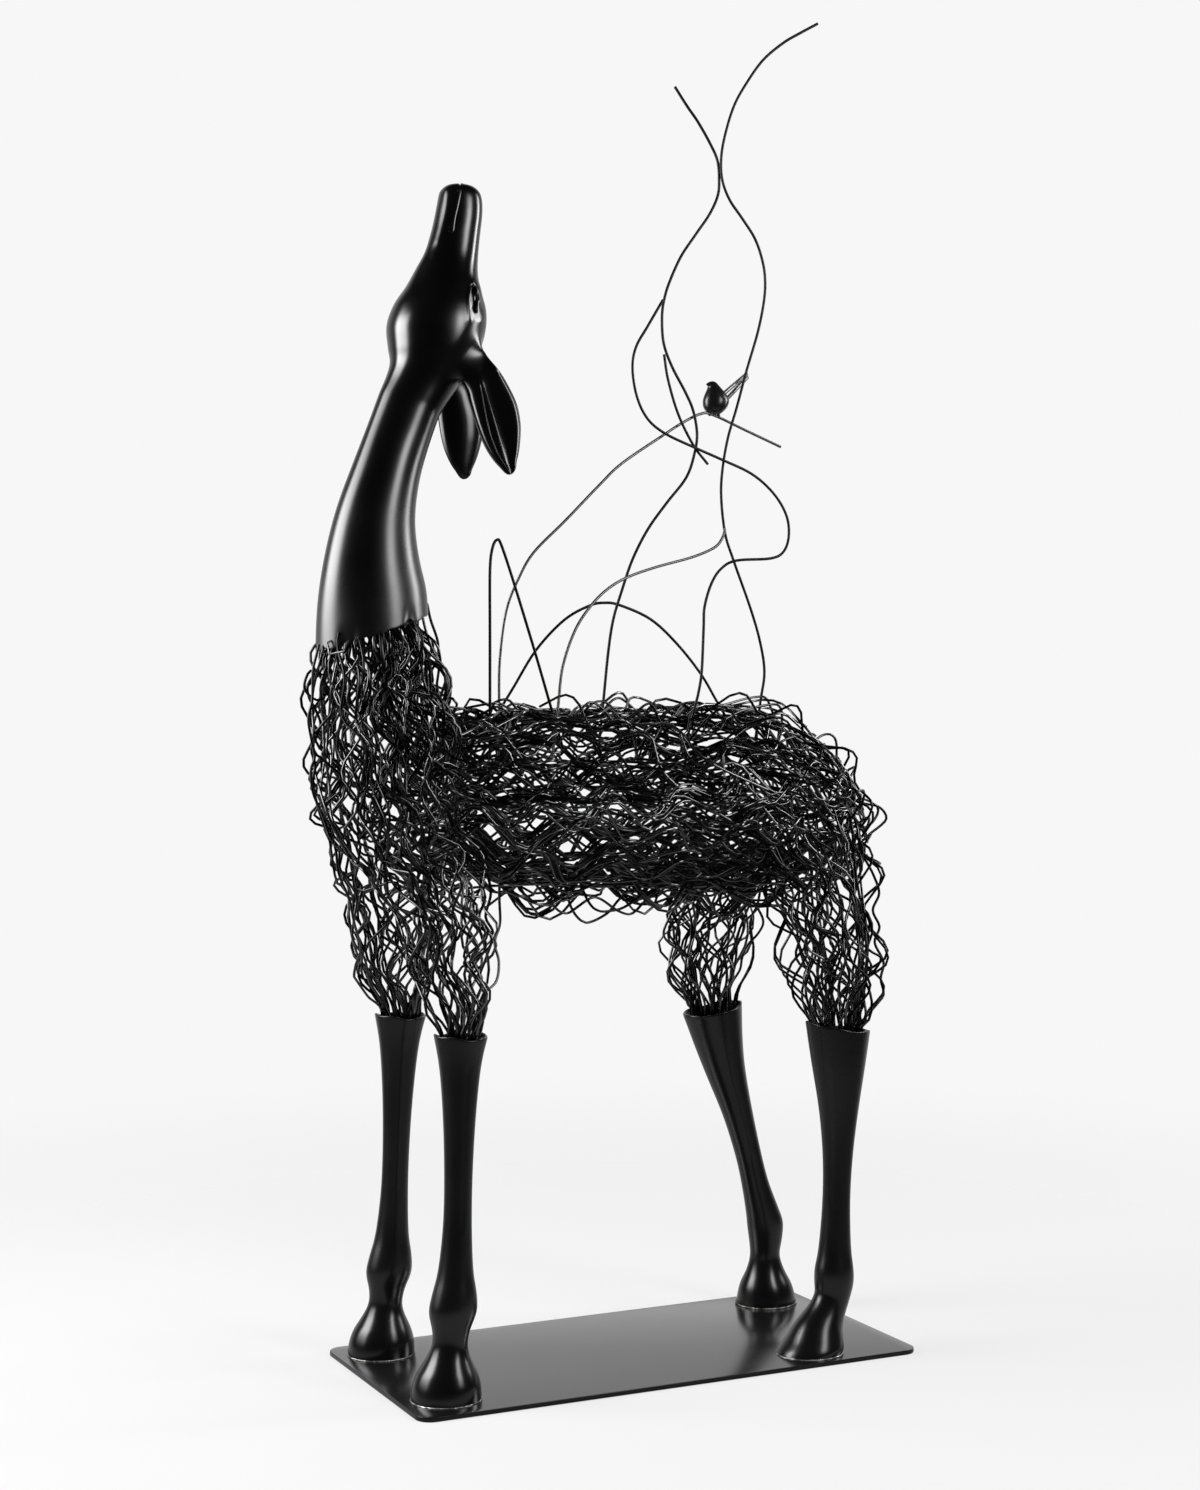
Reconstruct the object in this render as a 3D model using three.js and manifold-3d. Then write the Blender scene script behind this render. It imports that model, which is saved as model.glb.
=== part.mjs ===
// A life-size deer, head thrown back, standing on a thin steel plate.
// Smooth castings make the head, the neck and the four lower legs. A mass of crimped wire makes the body,
// long bent wires rise from its back, and a small bird sits on one of them.
// Millimetres, +Z up, the deer faces -X, and the origin is the centre of the plate's underside.
// The deer's left flank is on the -Y side and is called near; its right flank is called far.

import * as THREE from 'three';
import { mergeVertices } from 'three/addons/utils/BufferGeometryUtils.js';
import Module from 'manifold-3d';

const wasm = await Module();
wasm.setup();

// Base plate
const PLATE_LENGTH = 700;
const PLATE_WIDTH = 340;
const PLATE_THICKNESS = 6;
const PLATE_CORNER_RADIUS = 20;

// Castings and their joints
const GAP = 0.3;
const WALL = 4;
const CUP_DEPTH = 46;
const WIRE_CLEARANCE = 1.5;
const WIRE_ENTRY = 30;
const SOLE_HEIGHT = PLATE_THICKNESS + GAP;
const FORE_RIM_HEIGHT = 448;
const HIND_RIM_HEIGHT = 428;
const NECK_RIM_HEIGHT = 941;
const MUZZLE_HEIGHT = 1502;

// Feet on the plate, and how far each leg's top stands back from its foot
const FORE_FOOT_X = -293;
const NEAR_FORE_Y = -108;
const FAR_FORE_Y = 116;
const FORE_LEAN_X = 24;
const FORE_LEAN_Y = 10;
const NEAR_HIND_FOOT = [211, -123];
const FAR_HIND_FOOT = [286, 124];
const HIND_LEAN_Y = 11;

// Wire body
const BACK_HEIGHT = 851;
const BELLY_HEIGHT = 606;
const BODY_HALF_WIDTH = 126;

// Tall wires and bird
const TALL_WIRE_DIAMETER = 3;
const TALL_WIRE_SIDES = 6;
const BIRD_HEIGHT = 42;

const CASTING_BLACK = { color: 0x0b0b0c, roughness: 0.32, metalness: 0.1 };
const WIRE_BLACK = { color: 0x0a0a0a, roughness: 0.38, metalness: 0.25 };
const PLATE_BLACK = { color: 0x111214, roughness: 0.3, metalness: 0.2 };

const object = new THREE.Group();

function radians(degrees) {
  return THREE.MathUtils.degToRad(degrees);
}

function addPiece(name, geometry, finish) {
  const mesh = new THREE.Mesh(geometry, new THREE.MeshStandardMaterial(finish));
  mesh.name = name;
  object.add(mesh);
}

// Six times the signed volume of a closed mesh: negative when its faces point inwards.
function signedVolume(geometry) {
  const position = geometry.attributes.position;
  const corners = [new THREE.Vector3(), new THREE.Vector3(), new THREE.Vector3()];
  let volume = 0;
  for (let i = 0; i < geometry.index.count; i += 3) {
    corners.forEach((corner, k) => corner.fromBufferAttribute(position, geometry.index.getX(i + k)));
    volume += corners[0].dot(corners[1].clone().cross(corners[2]));
  }
  return volume;
}

// Keeps only merged positions, and turns the faces outwards.
function closed(geometry) {
  geometry.deleteAttribute('normal');
  geometry.deleteAttribute('uv');
  const merged = mergeVertices(geometry, 1e-3);
  if (signedVolume(merged) < 0) {
    const index = merged.index;
    for (let i = 0; i < index.count; i += 3) {
      const second = index.getX(i + 1);
      index.setX(i + 1, index.getX(i + 2));
      index.setX(i + 2, second);
    }
  }
  return merged;
}

function toSolid(geometry) {
  const vertProperties = new Float32Array(geometry.attributes.position.array);
  const triVerts = new Uint32Array(geometry.index.array);
  return new wasm.Manifold(new wasm.Mesh({ numProp: 3, vertProperties, triVerts }));
}

function toGeometry(solid) {
  const mesh = solid.getMesh();
  const geometry = new THREE.BufferGeometry();
  geometry.setAttribute('position', new THREE.BufferAttribute(mesh.vertProperties, 3));
  geometry.setIndex(new THREE.BufferAttribute(mesh.triVerts, 1));
  return geometry;
}

// A closed skin over cross-sections. pointAt(t, angle, reach) gives a point of the section at t, where t runs
// from 0 to 1 and reach is 1 on the outline and 0 at the middle.
function skin(pointAt, around, along) {
  const geometry = new THREE.CylinderGeometry(1, 1, 1, around, along);
  const position = geometry.attributes.position;
  const place = new THREE.Vector3();
  for (let i = 0; i < position.count; i += 1) {
    place.fromBufferAttribute(position, i);
    const reach = Math.hypot(place.x, place.z) > 0.5 ? 1 : 0;
    const step = Math.round((place.y + 0.5) * along) / along;
    const point = pointAt(step, Math.atan2(place.x, place.z), reach);
    position.setXYZ(i, point.x, point.y, point.z);
  }
  return closed(geometry);
}

// Sections that lie across an upright axis. Each station is
// [centre x, centre y, centre z, half depth along x, half width along y, tilt in degrees],
// and a positive tilt lifts the +X side.
function uprightSections(stations) {
  const centres = new THREE.CatmullRomCurve3(stations.map((s) => new THREE.Vector3(s[0], s[1], s[2])));
  const sizes = new THREE.CatmullRomCurve3(stations.map((s) => new THREE.Vector3(s[3], s[4], s[5])));
  centres.curveType = 'catmullrom';
  sizes.curveType = 'catmullrom';
  return (t) => {
    const size = sizes.getPoint(t);
    const tilt = radians(size.z);
    return {
      centre: centres.getPoint(t),
      depth: size.x,
      width: size.y,
      depthAxis: new THREE.Vector3(Math.cos(tilt), 0, Math.sin(tilt)),
      normal: new THREE.Vector3(-Math.sin(tilt), 0, Math.cos(tilt)),
    };
  };
}

// A point on a section: an ellipse made smaller by inset and moved along its normal by lift.
function ellipsePoint(section, angle, reach, inset = 0, lift = 0) {
  const point = section.centre.clone().addScaledVector(section.normal, lift);
  point.addScaledVector(section.depthAxis, reach * (section.depth - inset) * Math.cos(angle));
  point.y += reach * (section.width - inset) * Math.sin(angle);
  return point;
}

// The t at which a stack of sections reaches a height.
function stationAtHeight(sections, height) {
  let low = 0;
  let high = 1;
  for (let i = 0; i < 30; i += 1) {
    const middle = (low + high) / 2;
    if (sections(middle).centre.z < height) low = middle;
    else high = middle;
  }
  return low;
}

function addBasePlate() {
  const x = PLATE_LENGTH / 2;
  const y = PLATE_WIDTH / 2;
  const r = PLATE_CORNER_RADIUS;
  const outline = new THREE.Shape();
  outline.absarc(x - r, y - r, r, 0, Math.PI / 2);
  outline.absarc(r - x, y - r, r, Math.PI / 2, Math.PI);
  outline.absarc(r - x, r - y, r, Math.PI, Math.PI * 1.5);
  outline.absarc(x - r, r - y, r, Math.PI * 1.5, Math.PI * 2);
  const plate = new THREE.ExtrudeGeometry(outline, {
    depth: PLATE_THICKNESS,
    bevelEnabled: false,
    curveSegments: 4,
  });
  addPiece('base_plate', closed(plate), PLATE_BLACK);
}

// Lower legs. Heights are shares of the rim height. Each row holds
// [height share, share of the lean, half depth, half width] from the sole up:
// hoof, pastern, fetlock, cannon bone and the flared cup.
const FORE_LEG_FORM = [
  [0.0, 0.0, 43, 41],
  [0.02, 0.0, 42.5, 41],
  [0.055, 0.04, 38.5, 37],
  [0.092, 0.1, 30, 28],
  [0.14, 0.2, 22, 20.5],
  [0.18, 0.3, 23.5, 21],
  [0.24, 0.42, 30.5, 26],
  [0.29, 0.52, 28, 24.5],
  [0.355, 0.6, 22, 20],
  [0.48, 0.72, 18, 17],
  [0.62, 0.8, 17.8, 17],
  [0.77, 0.88, 20.5, 19.5],
  [0.91, 0.95, 26, 24.5],
  [1.0, 1.0, 34, 32.5],
];

function foreLegSections(footY) {
  const inward = -Math.sign(footY) * FORE_LEAN_Y;
  return uprightSections(FORE_LEG_FORM.map(([up, lean, depth, width]) => [
    FORE_FOOT_X + FORE_LEAN_X * lean,
    footY + inward * up,
    SOLE_HEIGHT + (FORE_RIM_HEIGHT - SOLE_HEIGHT) * up,
    depth,
    width,
    -2 * up,
  ]));
}

// Hind legs: [height, how far the centre is from the foot along x, half depth, half width, tilt in degrees].
// The near one stands upright with its toe forward; the far one slopes forward from its foot.
const NEAR_HIND_FORM = [
  [SOLE_HEIGHT, 0, 45, 41, 0],
  [14, 3, 44, 40.5, 0],
  [24, 8, 38.5, 36.5, -4],
  [41, 15, 32, 29, -10],
  [58, 26, 26, 23.5, -14],
  [76, 35, 24.5, 21.5, -10],
  [94, 38, 27, 23.5, -4],
  [112, 38.5, 26.5, 23.5, 0],
  [140, 40, 22, 20, 0],
  [200, 43, 18.8, 17.5, 0],
  [260, 46, 20.5, 19, 0],
  [320, 48, 27, 25, -2],
  [380, 48, 37, 34, -6],
  [HIND_RIM_HEIGHT, 48, 44.5, 41, -9],
];
const FAR_HIND_FORM = [
  [SOLE_HEIGHT, 0, 43.5, 40.5, 0],
  [16, 0, 42, 39.5, 0],
  [34, -1, 37, 35, 0],
  [54, -2, 27, 25, 0],
  [74, -3, 21.5, 20, 2],
  [94, -2, 24, 21, 4],
  [117, -3, 26.5, 22.5, 8],
  [140, -9, 23.5, 21, 12],
  [176, -20, 19.5, 18, 14],
  [220, -32, 18.5, 17.5, 15],
  [280, -50, 21.5, 20, 16],
  [340, -70, 28.5, 26.5, 15],
  [388, -83, 36, 33.5, 13],
  [HIND_RIM_HEIGHT, -92, 43, 39.5, 11],
];

function hindLegSections(foot, form) {
  const inward = -Math.sign(foot[1]) * HIND_LEAN_Y;
  return uprightSections(form.map(([height, shift, depth, width, tilt]) => [
    foot[0] + shift,
    foot[1] + (inward * height) / HIND_RIM_HEIGHT,
    height,
    depth,
    width,
    tilt,
  ]));
}

// A leg casting with an open cup at its top, where the body wires enter.
function addLegCasting(name, sections) {
  const outer = skin((t, angle, reach) => ellipsePoint(sections(t), angle, reach), 12, 26);
  const cupFloor = stationAtHeight(sections, sections(1).centre.z - CUP_DEPTH);
  const hollow = skin((t, angle, reach) => {
    const section = sections(cupFloor + (1 - cupFloor) * t);
    return ellipsePoint(section, angle, reach, WALL, t === 1 ? 1 : 0);
  }, 12, 2);
  addPiece(name, toGeometry(toSolid(outer).subtract(toSolid(hollow))), CASTING_BLACK);
}

// Head and neck, from the oblique rim up to the muzzle:
// [centre x, centre z, half depth, half width, tilt in degrees].
const HEAD_AND_NECK_FORM = [
  [-346, NECK_RIM_HEIGHT, 75, 59, 18],
  [-346, 985, 70, 54, 9],
  [-346, 1032, 60.5, 47.5, 0],
  [-341, 1085, 50.5, 41.5, -8],
  [-327, 1138, 43.5, 37, -16],
  [-311, 1184, 41, 35.5, -20],
  [-296, 1224, 40.5, 36, -20],
  [-281, 1250, 44, 40, -14],
  [-269, 1272, 52, 47, -7],
  [-261, 1296, 60, 51.5, 0],
  [-259, 1322, 63.5, 52.5, 0],
  [-255, 1346, 60, 49, -2],
  [-250, 1368, 50, 42.5, -5],
  [-245, 1391, 40, 35, -8],
  [-239, 1413, 33.5, 29.5, -8],
  [-233, 1441, 30.5, 26.5, -8],
  [-228, 1470, 29, 25.5, -6],
  [-226.5, 1489, 26, 23, -4],
  [-227, 1498, 19, 17, -2],
  [-228, MUZZLE_HEIGHT, 7, 6, 0],
];
const NECK_HOLLOW_TOP = 1010;

// One ear hangs on each side behind the head: a leaf with its hollow side facing outwards.
const EAR_ROOT = new THREE.Vector3(-223, 38, 1290);
const EAR_TIP = new THREE.Vector3(-187, 71, 1138);
const EAR_HALF_WIDTH = 28;
const EAR_THICKNESS = 9;
const EAR_CUP = 10;
const EAR_STEM_CENTRE = new THREE.Vector3(-232, 36, 1268);
const EAR_STEM_SIZE = new THREE.Vector3(24, 17, 27);

function earGeometry(side) {
  const root = EAR_ROOT.clone().multiply(new THREE.Vector3(1, side, 1));
  const tip = EAR_TIP.clone().multiply(new THREE.Vector3(1, side, 1));
  const along = tip.clone().sub(root).normalize();
  const outward = new THREE.Vector3(0, side, 0);
  const across = outward.clone().cross(along).normalize();
  const faceAxis = along.clone().cross(across).multiplyScalar(side * Math.sign(along.clone().cross(across).y));
  return skin((t, angle, reach) => {
    const leaf = Math.sin(Math.PI * (0.16 + 0.84 * t) ** 1.5) ** 0.8;
    const halfWidth = Math.max(EAR_HALF_WIDTH * leaf, 1.5);
    const sideways = reach * Math.cos(angle);
    const cup = EAR_CUP * leaf * (1 - sideways ** 2) * reach;
    const thickness = 0.5 * EAR_THICKNESS * Math.max(leaf, 0.2) * reach * Math.sin(angle);
    const bow = 6 * Math.sin(Math.PI * t);
    const point = root.clone().lerp(tip, t);
    point.addScaledVector(across, halfWidth * sideways);
    point.addScaledVector(faceAxis, thickness - cup + bow);
    return point;
  }, 12, 9);
}

function earStemGeometry(side) {
  const stem = new THREE.SphereGeometry(1, 10, 7);
  stem.scale(EAR_STEM_SIZE.x, EAR_STEM_SIZE.y, EAR_STEM_SIZE.z);
  stem.translate(EAR_STEM_CENTRE.x, EAR_STEM_CENTRE.y * side, EAR_STEM_CENTRE.z);
  return closed(stem);
}

function addHeadAndNeck() {
  const sections = uprightSections(HEAD_AND_NECK_FORM.map(([x, z, ...size]) => [x, 0, z, ...size]));
  const outer = skin((t, angle, reach) => ellipsePoint(sections(t), angle, reach), 18, 36);
  const hollowEnd = stationAtHeight(sections, NECK_HOLLOW_TOP);
  const hollow = skin((t, angle, reach) => {
    const lift = t === 0 ? -1 : 0;
    return ellipsePoint(sections(hollowEnd * t), angle, reach, WALL, lift);
  }, 18, 3);
  let solid = toSolid(outer).subtract(toSolid(hollow));
  for (const side of [-1, 1]) {
    solid = solid.add(toSolid(earGeometry(side))).add(toSolid(earStemGeometry(side)));
  }
  addPiece('head_and_neck', toGeometry(solid), CASTING_BLACK);
}

// Trunk, from the chest to the rump: [centre x, top height, bottom height, half width].
const TRUNK_FORM = [
  [-352, 790, 690, 60],
  [-330, 825, 640, 92],
  [-270, 848, 610, 112],
  [-180, BACK_HEIGHT - 5, BELLY_HEIGHT + 4, 118],
  [-60, BACK_HEIGHT, BELLY_HEIGHT - 4, BODY_HALF_WIDTH],
  [70, BACK_HEIGHT - 2, BELLY_HEIGHT - 10, BODY_HALF_WIDTH],
  [185, BACK_HEIGHT, BELLY_HEIGHT - 12, BODY_HALF_WIDTH],
  [246, BACK_HEIGHT - 16, BELLY_HEIGHT - 14, BODY_HALF_WIDTH - 6],
  [292, BACK_HEIGHT - 56, BELLY_HEIGHT - 10, 104],
  [324, BACK_HEIGHT - 100, BELLY_HEIGHT, 84],
  [346, BACK_HEIGHT - 150, BELLY_HEIGHT + 24, 50],
  [354, BACK_HEIGHT - 186, BELLY_HEIGHT + 40, 10],
];

// Chest and base of the neck, from the breast up to the neck rim: [centre x, centre z, depth, width, tilt].
const CHEST_FORM = [
  [-312, 604, 52, 60, 0],
  [-311, 622, 76, 92, 0],
  [-311, 680, 90, 110, 0],
  [-315, 750, 99, 114, 0],
  [-328, 815, 95, 102, 4],
  [-341, 868, 88, 82, 10],
  [-345, 905, 82, 67, 15],
  [-346, NECK_RIM_HEIGHT - GAP - 1, 73, 57, 18],
];

// Upper legs above the cups, from the top of the cup up into the body:
// [distance along the leg's lean, height above the rim, half depth, half width].
const FORE_UPPER_FORM = [
  [0, 0, 30, 28.5],
  [-1, 14, 33, 31],
  [-6, 48, 46, 37],
  [-10, 98, 55, 42],
  [-13, 150, 62, 46],
  [-18, 220, 70, 48],
  [-26, 300, 50, 34],
];
const NEAR_HIND_UPPER_FORM = [
  [0, 0, 40, 36.5],
  [1, 16, 43, 39],
  [0, 84, 56, 44],
  [-10, 134, 66, 48],
  [-17, 176, 73, 50],
  [-24, 256, 80, 52],
  [-30, 330, 54, 34],
];
const FAR_HIND_UPPER_FORM = [
  [0, 0, 38.5, 35],
  [-4, 16, 42, 37],
  [-9, 72, 56, 42],
  [2, 142, 70, 47],
  [16, 190, 76, 50],
  [34, 256, 80, 52],
  [40, 330, 54, 34],
];
const UPPER_LEG_INWARD = 40;

function upperLeg(legSections, form) {
  const rim = legSections(1);
  const cup = legSections(stationAtHeight(legSections, rim.centre.z - WIRE_ENTRY));
  const reachIn = form[form.length - 1][1];
  const inset = WALL + WIRE_CLEARANCE;
  const tiltOf = (section) => THREE.MathUtils.radToDeg(Math.asin(section.depthAxis.z));
  const plug = [
    cup.centre.x,
    cup.centre.y,
    cup.centre.z,
    cup.depth - inset,
    cup.width - inset,
    tiltOf(cup),
  ];
  const stations = form.map(([shift, up, depth, width]) => [
    rim.centre.x + shift,
    rim.centre.y - (Math.sign(rim.centre.y) * UPPER_LEG_INWARD * up * up) / (reachIn * reachIn),
    rim.centre.z + up,
    Math.min(depth, up === 0 ? rim.depth - inset : depth),
    Math.min(width, up === 0 ? rim.width - inset : width),
    tiltOf(rim) * Math.max(1 - up / 80, 0),
  ]);
  const sections = uprightSections([plug, ...stations]);
  return toSolid(skin((t, angle, reach) => ellipsePoint(sections(t), angle, reach), 12, 10));
}

function trunk() {
  const middle = new THREE.CatmullRomCurve3(
    TRUNK_FORM.map(([x, top, bottom]) => new THREE.Vector3(x, 0, (top + bottom) / 2)),
  );
  const size = new THREE.CatmullRomCurve3(
    TRUNK_FORM.map(([x, top, bottom, width]) => new THREE.Vector3(width, (top - bottom) / 2, 0)),
  );
  middle.curveType = 'catmullrom';
  size.curveType = 'catmullrom';
  return toSolid(skin((t, angle, reach) => {
    const point = middle.getPoint(t);
    const half = size.getPoint(t);
    point.y += reach * half.x * Math.sin(angle);
    point.z += reach * half.y * Math.cos(angle);
    return point;
  }, 18, 16));
}

function chest() {
  const sections = uprightSections(CHEST_FORM.map(([x, z, ...size]) => [x, 0, z, ...size]));
  return toSolid(skin((t, angle, reach) => ellipsePoint(sections(t), angle, reach), 18, 11));
}

// The wire body as one closed solid with the outer shape of the wire mass.
function addWireBody(legs) {
  let solid = trunk().add(chest());
  for (const leg of legs) {
    solid = solid.add(upperLeg(leg.sections, leg.upperForm));
  }
  addPiece('wire_body', toGeometry(solid), WIRE_BLACK);
}

// Tall wires rise from the back. Each route runs from its foot on the back to its far end.
const TALL_WIRES = {
  tall_wire_hairpin: [
    [-197, -22, 850], [-196, -20, 940], [-195, -18, 1020], [-191, -17, 1048], [-184, -15, 1058],
    [-177, -13, 1051], [-157, -8, 1002], [-125, 0, 917], [-102, 8, 856],
  ],
  tall_wire_perch: [
    [-169, 14, 850], [-168, 14, 906], [-159, 14, 969], [-142, 13, 1011], [-121, 12, 1045],
    [-77, 10, 1087], [-29, 9, 1134], [3, 8, 1163], [65, 8, 1203], [91, 8, 1219],
    [118, 9, 1232], [137, 9, 1232], [193, 14, 1213], [247, 20, 1195],
  ],
  tall_wire_arch: [
    [-156, 34, 848], [-140, 34, 872], [-109, 32, 920], [-70, 30, 959], [-35, 27, 978],
    [-14, 25, 982], [8, 24, 979], [52, 22, 961], [91, 22, 929], [128, 24, 889], [154, 28, 853],
  ],
  tall_wire_branch: [
    [-108, -34, 850], [-100, -30, 898], [-81, -26, 944], [-58, -23, 975], [-32, -20, 998],
    [-2, -18, 1014], [41, -15, 1028], [95, -12, 1042], [129, -9, 1055], [142, -7.6, 1067], [147, -7.6, 1081],
  ],
  tall_wire_left: [
    [-26, 4, 854], [-18, 6, 918], [-11, 6, 959], [0, 6, 993], [17, 6, 1038], [39, 5, 1078],
    [66, 4, 1113], [95, 3, 1148], [107, 2.2, 1182], [110, 2.2, 1207], [104, 2.2, 1236], [92, 2.2, 1260],
    [73, 2.2, 1291], [61, 3, 1321], [59, 4, 1353], [62, 5, 1375], [69, 4, 1399], [86, 3, 1435],
    [107, 2, 1465], [128, 1.4, 1494], [140, 1.2, 1519], [142, 1.2, 1540], [140, 2, 1565], [130, 5, 1588],
    [115, 10, 1615], [101, 14, 1635], [86, 20, 1660],
  ],
  tall_wire_right: [
    [203, -4, 852], [209, -4, 892], [202, -4, 933], [187, -4, 978], [162, -4, 1039], [149, -4, 1075],
    [143, -4, 1123], [145, -4, 1160], [153, -4, 1201], [166, -4, 1241], [181, -4, 1291], [198, -4, 1343],
    [207, -4, 1383], [209, -4, 1411], [205, -4, 1437], [194, -3, 1466], [174, -3, 1492], [156, -2.6, 1514],
    [145, -2.3, 1539], [143, -2.6, 1567], [148, -4, 1598], [159, -8, 1636], [175, -12, 1666],
    [197, -18, 1698], [224, -24, 1722], [246, -30, 1736], [270, -36, 1750],
  ],
  tall_wire_s_curve: [
    [86, -39, 848], [91, -38, 864], [97, -36, 892], [103, -30, 949], [106, -27, 977], [119, -22, 1008],
    [136, -18, 1028], [161, -14, 1039], [214, -12, 1043], [234, -12, 1053], [241, -13, 1075],
    [236, -14, 1102], [216, -14, 1130], [184, -13, 1154], [139, -10, 1172], [99, -6.6, 1187],
    [60, -3, 1203], [35, -2, 1221], [20, -1, 1249], [14, 0, 1285], [19, 0, 1313], [37, 1, 1342],
    [59, 1.3, 1377],
  ],
  tall_wire_twig: [
    [59, -2, 1306], [65, -2, 1273], [80, -2, 1229], [102, -2.2, 1190], [123, -4, 1165],
  ],
};
const WIRE_STEP = 26;
const HAIRPIN_STEP = 13;

function addTallWire(name, points, step) {
  const route = new THREE.CatmullRomCurve3(points.map(([x, y, z]) => new THREE.Vector3(x, y, z)));
  const section = new THREE.Shape();
  section.absarc(0, 0, TALL_WIRE_DIAMETER / 2, 0, Math.PI * 2);
  const corners = section.getSpacedPoints(TALL_WIRE_SIDES).slice(0, TALL_WIRE_SIDES);
  const steps = Math.round(route.getLength() / step);
  const wire = new THREE.ExtrudeGeometry(new THREE.Shape(corners), { steps, extrudePath: route });
  addPiece(name, closed(wire), WIRE_BLACK);
}

// The bird: a plump upright body that narrows to a short beak, with a forked tail held up behind it.
const BIRD_FOOT = new THREE.Vector3(138, 9, 1235);
const BIRD_FORM = [
  [4, 0, 3, 3],
  [5, 0.05, 10, 9],
  [6, 0.2, 16.5, 14.5],
  [6, 0.4, 18.5, 16],
  [4, 0.58, 16.5, 14],
  [1, 0.75, 12.5, 11],
  [-1, 0.88, 9.5, 8.5],
  [-3, 0.97, 5.5, 5],
  [-4, 1, 1.5, 1.5],
];
const BEAK_LENGTH = 9;
const TAIL_LENGTH = 48;

function addBird() {
  const sections = uprightSections(BIRD_FORM.map(([shift, up, depth, width]) => [
    BIRD_FOOT.x + shift,
    BIRD_FOOT.y,
    BIRD_FOOT.z + BIRD_HEIGHT * up,
    depth,
    width,
    0,
  ]));
  let solid = toSolid(skin((t, angle, reach) => ellipsePoint(sections(t), angle, reach), 10, 10));
  const beak = new THREE.CylinderGeometry(0.6, 3.6, BEAK_LENGTH, 6);
  beak.rotateZ(radians(82));
  beak.translate(BIRD_FOOT.x - 11, BIRD_FOOT.y, BIRD_FOOT.z + BIRD_HEIGHT * 0.87);
  solid = solid.add(toSolid(closed(beak)));
  for (const side of [-1, 1]) {
    const feather = new THREE.BoxGeometry(TAIL_LENGTH, 4, 4);
    feather.translate(TAIL_LENGTH / 2, 0, 0);
    feather.rotateY(radians(-41));
    feather.rotateZ(radians(8 * side));
    feather.translate(BIRD_FOOT.x + 15, BIRD_FOOT.y + 4 * side + 3, BIRD_FOOT.z + 17 + 3 * side);
    solid = solid.add(toSolid(closed(feather)));
  }
  addPiece('bird', toGeometry(solid), CASTING_BLACK);
}

const legs = [
  { name: 'leg_casting_near_fore', sections: foreLegSections(NEAR_FORE_Y), upperForm: FORE_UPPER_FORM },
  { name: 'leg_casting_far_fore', sections: foreLegSections(FAR_FORE_Y), upperForm: FORE_UPPER_FORM },
  {
    name: 'leg_casting_near_hind',
    sections: hindLegSections(NEAR_HIND_FOOT, NEAR_HIND_FORM),
    upperForm: NEAR_HIND_UPPER_FORM,
  },
  {
    name: 'leg_casting_far_hind',
    sections: hindLegSections(FAR_HIND_FOOT, FAR_HIND_FORM),
    upperForm: FAR_HIND_UPPER_FORM,
  },
];

addBasePlate();
legs.forEach((leg) => addLegCasting(leg.name, leg.sections));
addHeadAndNeck();
addWireBody(legs);
Object.entries(TALL_WIRES).forEach(([name, points]) => {
  addTallWire(name, points, name === 'tall_wire_hairpin' ? HAIRPIN_STEP : WIRE_STEP);
});
addBird();

export default object;
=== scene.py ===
from math import cos, pi, radians, sin

import bpy
import numpy as np
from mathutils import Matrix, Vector
from mathutils.kdtree import KDTree


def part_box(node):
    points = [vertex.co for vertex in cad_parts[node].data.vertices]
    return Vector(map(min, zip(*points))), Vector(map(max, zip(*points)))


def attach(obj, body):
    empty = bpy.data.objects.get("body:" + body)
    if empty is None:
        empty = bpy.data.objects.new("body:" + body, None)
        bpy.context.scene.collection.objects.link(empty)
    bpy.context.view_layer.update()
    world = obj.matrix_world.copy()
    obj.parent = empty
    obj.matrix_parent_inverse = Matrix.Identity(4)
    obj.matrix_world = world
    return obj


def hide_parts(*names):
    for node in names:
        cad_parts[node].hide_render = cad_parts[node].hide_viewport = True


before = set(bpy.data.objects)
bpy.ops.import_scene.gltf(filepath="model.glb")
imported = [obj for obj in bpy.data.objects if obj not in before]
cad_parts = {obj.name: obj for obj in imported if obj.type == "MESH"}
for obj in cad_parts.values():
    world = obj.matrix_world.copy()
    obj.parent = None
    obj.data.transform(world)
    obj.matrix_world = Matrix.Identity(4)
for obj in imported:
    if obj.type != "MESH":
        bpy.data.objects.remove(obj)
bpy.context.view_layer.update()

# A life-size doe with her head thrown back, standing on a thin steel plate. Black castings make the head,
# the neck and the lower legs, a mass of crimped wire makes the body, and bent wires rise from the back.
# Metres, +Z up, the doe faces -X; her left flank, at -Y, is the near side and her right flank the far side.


# ---------------------------------------------------------------- studio
# A pale floor that fades into a white background, two tall soft lights to one side of the doe and one to the
# other, and a dark room behind the camera, so that black gloss paint shows a few long soft bands.
CAMERA_PLACE = (-1.4046, -2.8415, 0.8881)
CAMERA_PITCH = 88.35
CAMERA_TURN = -25.77
CAMERA_LENS = 58.9
WHITE_BACKGROUND = 0.93
FLOOR_FADE_START = 0.7
FLOOR_FADE_END = 2.3
FLOOR_SHADE = 0.12
FLOOR_GLOW = 0.62
REFLECTED_FLOOR_GLOW = 0.5
WALL_DIRECTION = (0.43, 0.88, -0.2)
DARK_ROOM = 0.012

bpy.ops.object.select_all(action="DESELECT")
bpy.ops.object.camera_add(
    location=CAMERA_PLACE,
    rotation=(radians(CAMERA_PITCH), 0, radians(CAMERA_TURN)),
)
camera = bpy.context.object
camera.data.sensor_width = 36
camera.data.lens = CAMERA_LENS
camera.data.clip_end = 60
bpy.context.scene.camera = camera
bpy.context.scene.view_settings.view_transform = "Standard"


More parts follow.
